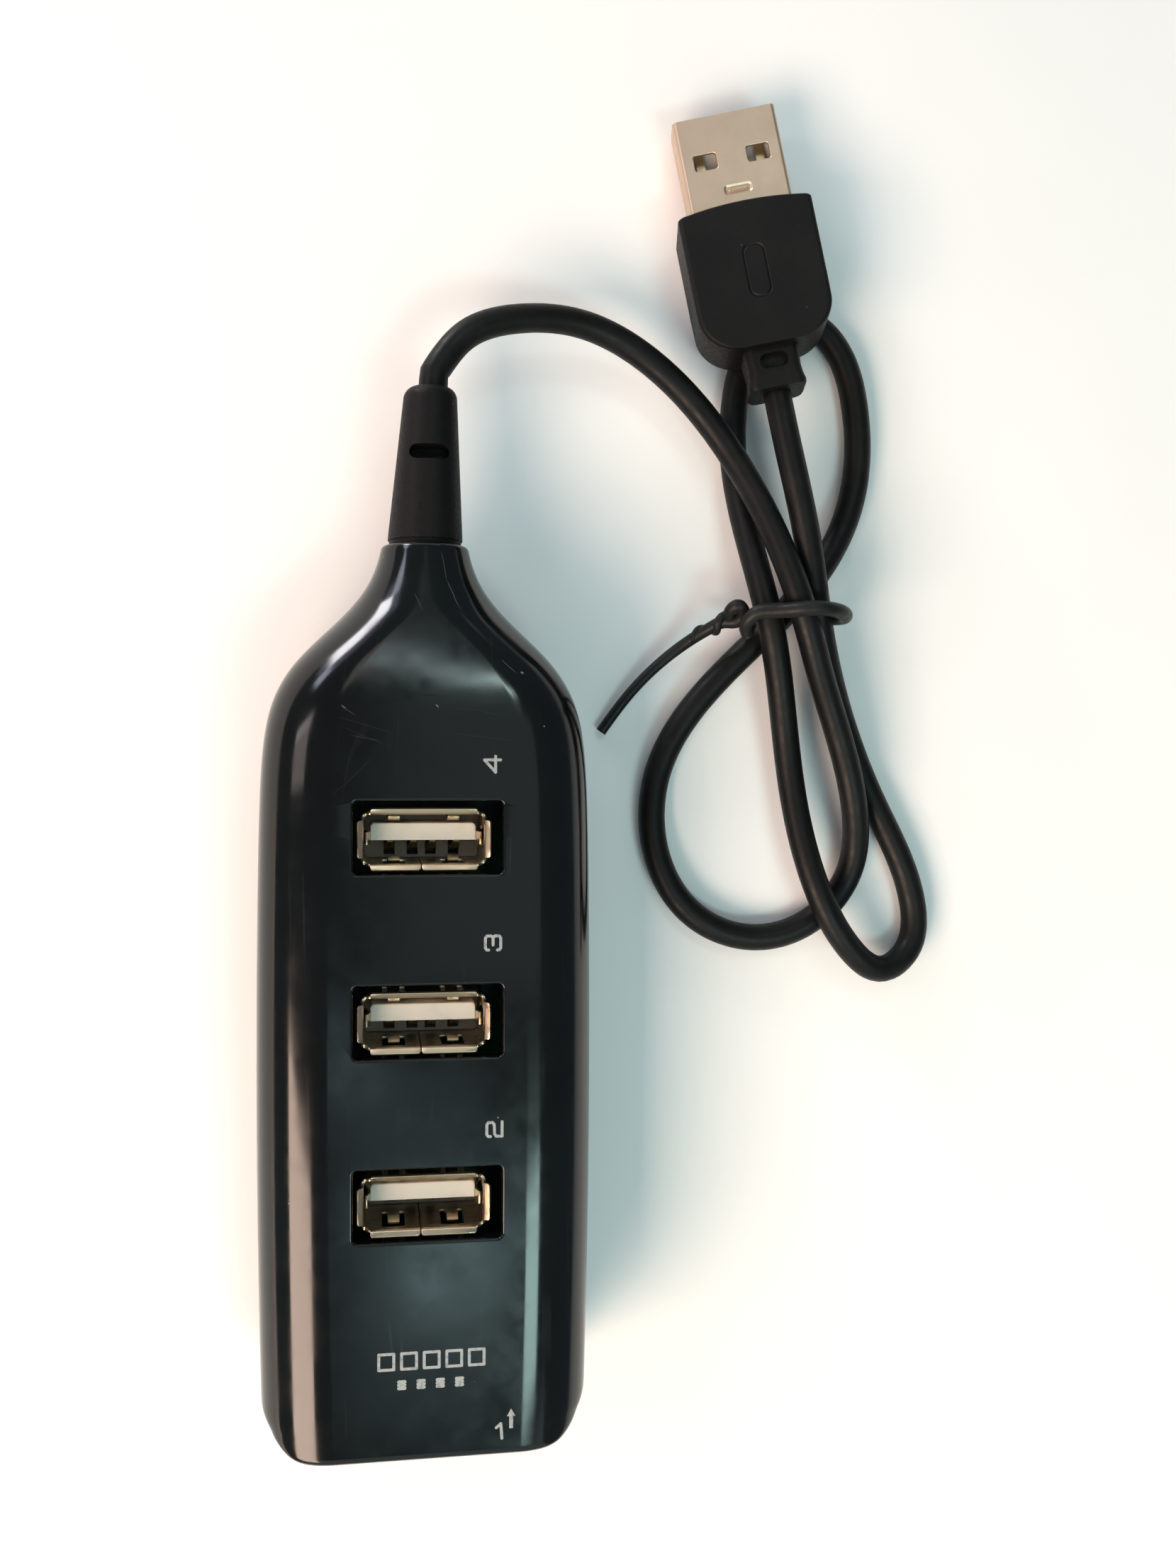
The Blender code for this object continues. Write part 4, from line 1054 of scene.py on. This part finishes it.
def build_plug_grip(material):
    """The moulded grip with a shallow oval groove, and its neck with a slot."""
    length = GRIP_FRONT - GRIP_BACK
    rings = []
    backs = [0.0, 0.05 * MM, 0.12 * MM, 0.22 * MM, 0.35 * MM]
    backs += list(np.linspace(0.9 * MM, 10.9 * MM, 14))
    backs += [length - GRIP_ROUND * (1 - math.sin(math.pi / 2 * i / 14)) for i in range(1, 15)]
    for back in backs:
        front_inset = arc_inset(back, GRIP_EDGE_ROUND)
        half_width = GRIP_HALF_WIDTH - (arc_inset(length - back, GRIP_ROUND) + front_inset)
        height = GRIP_HALF_HEIGHT - front_inset
        bottom = height - 0.1 * max(back - 10.0 * MM, 0.0)
        arch = 0.75 * MM * max(1 - back / (6 * MM), 0.0)
        rings.append(grip_ring(GRIP_FRONT - back, half_width, height, bottom, 0.6 * MM, arch))
    neck = ((GRIP_BACK, 3.2), (GRIP_BACK - 2.4 * MM, 3.05), (GRIP_NECK_END + 1.4 * MM, 3.15),
            (GRIP_NECK_END + 0.6 * MM, 3.35), (GRIP_NECK_END + 0.2 * MM, 3.3), (GRIP_NECK_END, 3.1))
    for y, half in neck:
        rings.append(grip_ring(y, half * MM, GRIP_NECK_HALF, GRIP_NECK_HALF, 1.1 * MM, 0.0))
    grip = new_object("plug_grip_skin", loft("plug_grip_skin", rings))
    pocket_x = PLUG_WIDTH / 2 + GRIP_POCKET_PLAY
    pocket_z = PLUG_HEIGHT / 2 + GRIP_POCKET_PLAY
    pocket = box("pocket", (-pocket_x, GRIP_FRONT - GRIP_POCKET_DEPTH, -pocket_z),
                 (pocket_x, GRIP_FRONT + MM, pocket_z))
    slot = prism("grip_slot", rounded_rectangle(3.2 * MM, 1.8 * MM, 0.8 * MM), (-MM, 2 * MM))
    outside = ((-0.13, 0.0), (-0.06, 0.14), (0.01, 0.2), (0.3, 0.2))
    levels = in_mm(*outside, *((z, -side) for z, side in outside[::-1]))
    groove = ring_solid("groove", rounded_rings(2.4 * MM, 6.1 * MM, MM, levels))
    # The groove has to be cut before the pocket is open
    carve(grip, [(slot, Matrix.Translation((0, GRIP_BACK - 1.6 * MM, GRIP_NECK_HALF)), CUT),
                 (groove, Matrix.Translation((0, GRIP_GROOVE_Y, GRIP_HALF_HEIGHT)), CUT),
                 (pocket, IN_PLACE, CUT)])
    even_normals(grip, 40.0)
    return piece(grip, material, ["plug_overmould"], plug_place())


# ---- printed marks

# Lines of each mark, in mm at size 1
GLYPHS = {
    "1": [[(-0.42, 0.30), (0.06, 0.72), (0.18, -0.86)]],
    "2": [[(-0.74, 0.42), (-0.72, 0.66), (-0.52, 0.80), (0.50, 0.80), (0.72, 0.66), (0.74, 0.22),
           (0.54, 0.03), (-0.50, -0.03), (-0.72, -0.20), (-0.74, -0.80), (0.78, -0.80)]],
    "3": [[(-0.74, 0.46), (-0.72, 0.66), (-0.52, 0.80), (0.50, 0.80), (0.72, 0.66), (0.74, 0.20),
           (0.56, 0.0), (0.74, -0.20), (0.72, -0.66), (0.50, -0.80), (-0.52, -0.80), (-0.72, -0.66),
           (-0.74, -0.46)], [(0.56, 0.0), (-0.22, 0.0)]],
    "4": [[(0.48, -0.84), (0.48, 0.84), (-0.80, -0.32), (0.86, -0.32)]],
    "bar": [[(-0.74, 0.78), (0.74, 0.78), (0.74, -0.78), (-0.74, -0.78), (-0.74, 0.78)]],
    "dot": [[(-0.32, y), (0.32, y)] for y in (0.0, 0.36, -0.36)],
}


def stroke(start, end, width, depth):
    """One printed stroke: a thin plate between two points, with round ends."""
    angle = math.atan2(end.y - start.y, end.x - start.x)
    outline = []
    for centre, turn in ((end, angle - math.pi / 2), (start, angle + math.pi / 2)):
        for step in range(9):
            around = turn + math.pi * step / 8
            outline.append((centre.x + width / 2 * math.cos(around),
                            centre.y + width / 2 * math.sin(around)))
    return prism("stroke", outline, (-depth, depth))


def build_print(material, name, marks):
    """Printed marks that lie on the case: (glyph, x, y, turn in degrees, size, stroke width) in mm."""
    strokes = []
    for glyph, x, y, turn, size, width in marks:
        place = Matrix.Translation((x * MM, y * MM, 0)) @ Matrix.Rotation(math.radians(turn), 4, "Z")
        for line in GLYPHS[glyph]:
            points = [place @ Vector((px * size * MM, py * size * MM, 0)) for px, py in line]
            strokes += [stroke(a.xy, b.xy, width * MM, 0.1 * MM) for a, b in zip(points, points[1:])]
    item = new_object(name, strokes[0])
    carve(item, [(data, IN_PLACE, JOIN) for data in strokes[1:]])
    for vertex in item.data.vertices:
        lift = INK_RISE if vertex.co.z > 0 else -INK_SINK
        vertex.co.z = MID_Z + half_height_at(vertex.co.y) + lift
    even_normals(item)
    return piece(item, material, [])


def build_prints(material):
    """Port digits beside the ports, an arrow to the first one, and a plain pattern."""
    for digit, x, y, turn in (("4", 6.6, 15.8, 90), ("3", 6.7, -2.8, 90), ("2", 6.9, -22.4, 90),
                              ("1", 7.6, -54.4, 0)):
        build_print(material, f"port_digit_{digit}", [(digit, x, y, turn, 1.0, 0.3)])
    bars = [("bar", -4.3 + 2.35 * i, -46.4, 0, 1.05, 0.3) for i in range(5)]
    dots = [("dot", -2.7 + 2.0 * i, -48.9, 0, 0.95, 0.36) for i in range(4)]
    build_print(material, "plain_bars", bars)
    build_print(material, "plain_dots", dots)
    arrow = in_mm((8.55, -54.25), (8.95, -54.25), (8.95, -52.95), (9.2, -52.95), (8.75, -52.15),
                  (8.3, -52.95), (8.55, -52.95))
    data = prism("port_arrow", arrow, (CASE_HEIGHT - INK_SINK, CASE_HEIGHT + INK_RISE))
    piece(new_object("port_arrow", data), material, [])


# ---- hidden parts

def dress_nodes(looks):
    """Give the nodes that stay as they are their finished materials."""
    for name, material in looks.items():
        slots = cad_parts[name].data.materials
        slots.clear()
        slots.append(material)


# ---- stage

# Flat panels over the hub: name, x range, y range and height in metres, brightness and tint
OVERHEADS = (
    ("left_key", (-0.87, -0.255), (-0.7, -0.196), 0.5, 16.0, (1.0, 0.75, 0.6)),
    ("left_key_far", (-0.95, -0.46), (0.04, 0.33), 0.505, 3.2, (1.0, 0.85, 0.78)),
    ("left_key_end", (-0.95, -0.46), (0.24, 0.33), 0.51, 2.4, (1.0, 0.93, 0.92)),
    ("right_strip", (0.084, 0.265), (-0.305, -0.188), 0.515, 13.0, (0.68, 1.0, 0.95)),
    ("right_strip_far", (0.084, 0.25), (-0.188, -0.125), 0.52, 0.6, (0.7, 1.0, 0.9)),
    ("glow_wide", (-0.018, 0.048), (-0.3, -0.125), 0.525, 0.6, (0.64, 0.95, 1.0)),
    ("glow_middle", (0.0, 0.06), (-0.264, -0.195), 0.53, 0.9, (0.64, 0.95, 1.0)),
    ("glow_core", (0.012, 0.058), (-0.25, -0.208), 0.535, 2.5, (0.64, 0.95, 1.0)),
    ("glow_side", (-0.032, 0.0), (-0.15, -0.108), 0.54, 1.5, (0.64, 0.95, 1.0)),
    ("ceiling", (0.004, 0.3), (-0.105, 0.235), 0.545, 0.42, (0.86, 1.0, 1.0)),
    ("arc_wide", (0.029, 0.19), (0.235, 0.37), 0.55, 0.8, (0.7, 1.0, 0.9)),
    ("arc_start", (0.029, 0.045), (0.328, 0.36), 0.555, 11.0, (0.8, 1.0, 1.0)),
    ("arc_crest", (0.045, 0.078), (0.304, 0.338), 0.56, 16.5, (0.76, 1.0, 0.95)),
    ("arc_end", (0.078, 0.15), (0.288, 0.326), 0.555, 13.5, (0.76, 1.0, 0.95)),
    ("arc_tail", (0.15, 0.205), (0.312, 0.35), 0.555, 7.0, (0.76, 1.0, 0.95)),
    ("flow_wide", (-0.014, 0.029), (0.358, 0.43), 0.565, 1.6, (0.78, 0.95, 1.0)),
    ("flow_core", (0.0, 0.029), (0.37, 0.415), 0.57, 5.2, (0.78, 0.97, 1.0)),
    ("neck_glow", (-0.02, 0.045), (0.43, 0.7), 0.575, 0.22, (0.9, 0.95, 1.0)),
    ("plug_fill", (-0.12, -0.004), (0.335, 0.5), 0.58, 1.75, (1.0, 0.88, 0.78)),
)
# Tilted soft lights: name, place, what they face, size, brightness and tint
SOFT_LIGHTS = (
    ("window", (-0.455, 0.76, 0.14), (-0.006, 0.03, 0.016), (0.15, 0.25), 26.0, (1.0, 0.98, 1.0)),
    ("window_top", (-0.564, 0.642, 0.322), (-0.006, 0.03, 0.016), (0.16, 0.15), 7.0, (0.84, 0.82, 1.0)),
    ("window_glow", (-0.53, 0.8, 0.29), (-0.006, 0.03, 0.016), (0.34, 0.36), 1.6, (0.72, 0.7, 1.0)),
    ("back_soft", (0.0, -0.75, 0.55), (0.0, 0.0, 0.0), (1.4, 0.7), 0.75, (0.86, 1.0, 0.96)),
    ("front_soft", (0.05, 0.95, 0.3), (0.0, 0.0, 0.016), (0.8, 0.25), 1.4, (1.0, 1.0, 0.92)),
)


def build_camera():
    """Nearly straight above the socket nearest to the neck, a little turned."""
    data = settle(bpy.data.cameras.new("camera"), sensor_width=36.0, sensor_fit="AUTO", lens=32.55,
                  clip_start=0.01)
    bpy.context.scene.camera = settle(
        new_object("camera", data), location=(-6.364 * MM, 18.188 * MM, 168.02 * MM),
        rotation_euler=[math.radians(angle) for angle in (-1.740, -8.884, 0.279)])


def soft_light(name, place, aim, size, radiance, tint):
    """A rectangular soft light; radiance is how bright it looks, whatever its size."""
    data = settle(bpy.data.lights.new(name, "AREA"), shape="RECTANGLE", size=size[0], size_y=size[1],
                  energy=radiance * math.pi * size[0] * size[1], color=tint)
    facing = (Vector(aim) - Vector(place)).to_track_quat("-Z", "Y")
    settle(new_object(name, data), location=place, rotation_euler=facing.to_euler())


def build_stage():
    """Pale floor and soft studio lights, whose reflections run down both shoulders of the case."""
    shape = bmesh.new()
    half = 1.5
    shape.faces.new([shape.verts.new((x * half, y * half, 0)) for x, y in CORNERS])
    floor = new_object("floor", mesh_from("floor", shape))
    floor.data.materials.append(floor_paint())
    world = bpy.data.worlds.new("studio")
    bpy.context.scene.world = world
    world.use_nodes = True
    background = world.node_tree.nodes["Background"]
    background.inputs["Color"].default_value = (0.145, 0.177, 0.20, 1.0)
    background.inputs["Strength"].default_value = 1.0
    for name, x_range, y_range, height, radiance, tint in OVERHEADS:
        x, y = sum(x_range) / 2, sum(y_range) / 2
        size = (x_range[1] - x_range[0], y_range[1] - y_range[0])
        soft_light(name, (x, y, height), (x, y, 0.0), size, radiance, tint)
    for light in SOFT_LIGHTS:
        soft_light(*light)
    bpy.context.scene.view_settings.view_transform = "Standard"


# ---- everything

build_camera()
cord = build_cord(cord_jacket())
tie_look = matte_rubber("tie_plastic", (0.008, 0.008, 0.008), (0.016, 0.016, 0.016), 0.42, 1500.0)
tie = build_tie(tie_look)
rubber = matte_rubber("moulded_rubber", (0.0032, 0.0028, 0.0029), (0.006, 0.0053, 0.0054), 0.52, 2600.0)
build_strain_relief(rubber)
plug_metal = nickel("plug_nickel", (0.65, 0.485, 0.37), (0.61, 0.45, 0.335), 0.42, (1.0, 0.5, 1.0), 0.12)
plug_pieces = [build_plug_grip(rubber), build_plug_shell(plug_metal)]
build_case(gloss_black())
build_prints(ink())
socket_metal = nickel("socket_nickel", (0.67, 0.57, 0.41), (0.65, 0.48, 0.36), 0.3, (0.2, 1.0, 1.0), 0.8)
contact_metal = plain_part("contact_metal", (0.62, 0.52, 0.34), (0.5, 0.4, 0.25), 0.32, 1.0)
off_white = white_plastic("white_plastic", (0.50, 0.475, 0.425), (0.40, 0.37, 0.31))
# The tongue's plastic made brighter and yellower for the socket floors: painted light.
lit_base_white = white_plastic("lit_base_plastic", (0.98, 0.82, 0.50), (0.86, 0.69, 0.40))
for number in (1, 2, 3, 4):
    build_socket_shell(number, socket_metal)
    build_socket_inside(number, off_white, lit_base_white, contact_metal)

ceramic = plain_part("ceramic", (0.42, 0.30, 0.20), (0.36, 0.25, 0.16), 0.5)
steel = plain_part("screw_steel", (0.45, 0.45, 0.45), (0.35, 0.34, 0.33), 0.35, 1.0)
looks = {
    "case_screw_1": steel,
    "case_screw_2": steel,
    "circuit_board": plain_part("board_mask", (0.01, 0.08, 0.04), (0.015, 0.12, 0.06), 0.4),
    "hub_controller": plain_part("chip_plastic", (0.02, 0.02, 0.02), (0.03, 0.03, 0.03), 0.5),
    "crystal": plain_part("crystal_can", (0.6, 0.6, 0.58), (0.5, 0.5, 0.48), 0.3, 1.0),
    "electrolytic_capacitor": plain_part("sleeve", (0.03, 0.035, 0.05), (0.04, 0.045, 0.06), 0.3),
    "ceramic_capacitor_1": ceramic,
    "ceramic_capacitor_2": ceramic,
    "plug_tongue": off_white,
}
for name, tone in (("red", (0.5, 0.02, 0.02)), ("white", (0.75, 0.75, 0.72)),
                   ("green", (0.03, 0.3, 0.06)), ("black", (0.02, 0.02, 0.02))):
    worn = tuple(channel * 0.8 for channel in tone)
    looks[f"wire_{name}"] = plain_part(f"insulation_{name}", tone, worn, 0.5)
plug_contacts = [f"plug_contact_{index}" for index in (1, 2, 3, 4)]
looks.update((name, contact_metal) for name in plug_contacts)
dress_nodes(looks)

centreline = cord_points(CORD_STEPS)[1:]    # the first point lies inside the sleeve
build_stage()
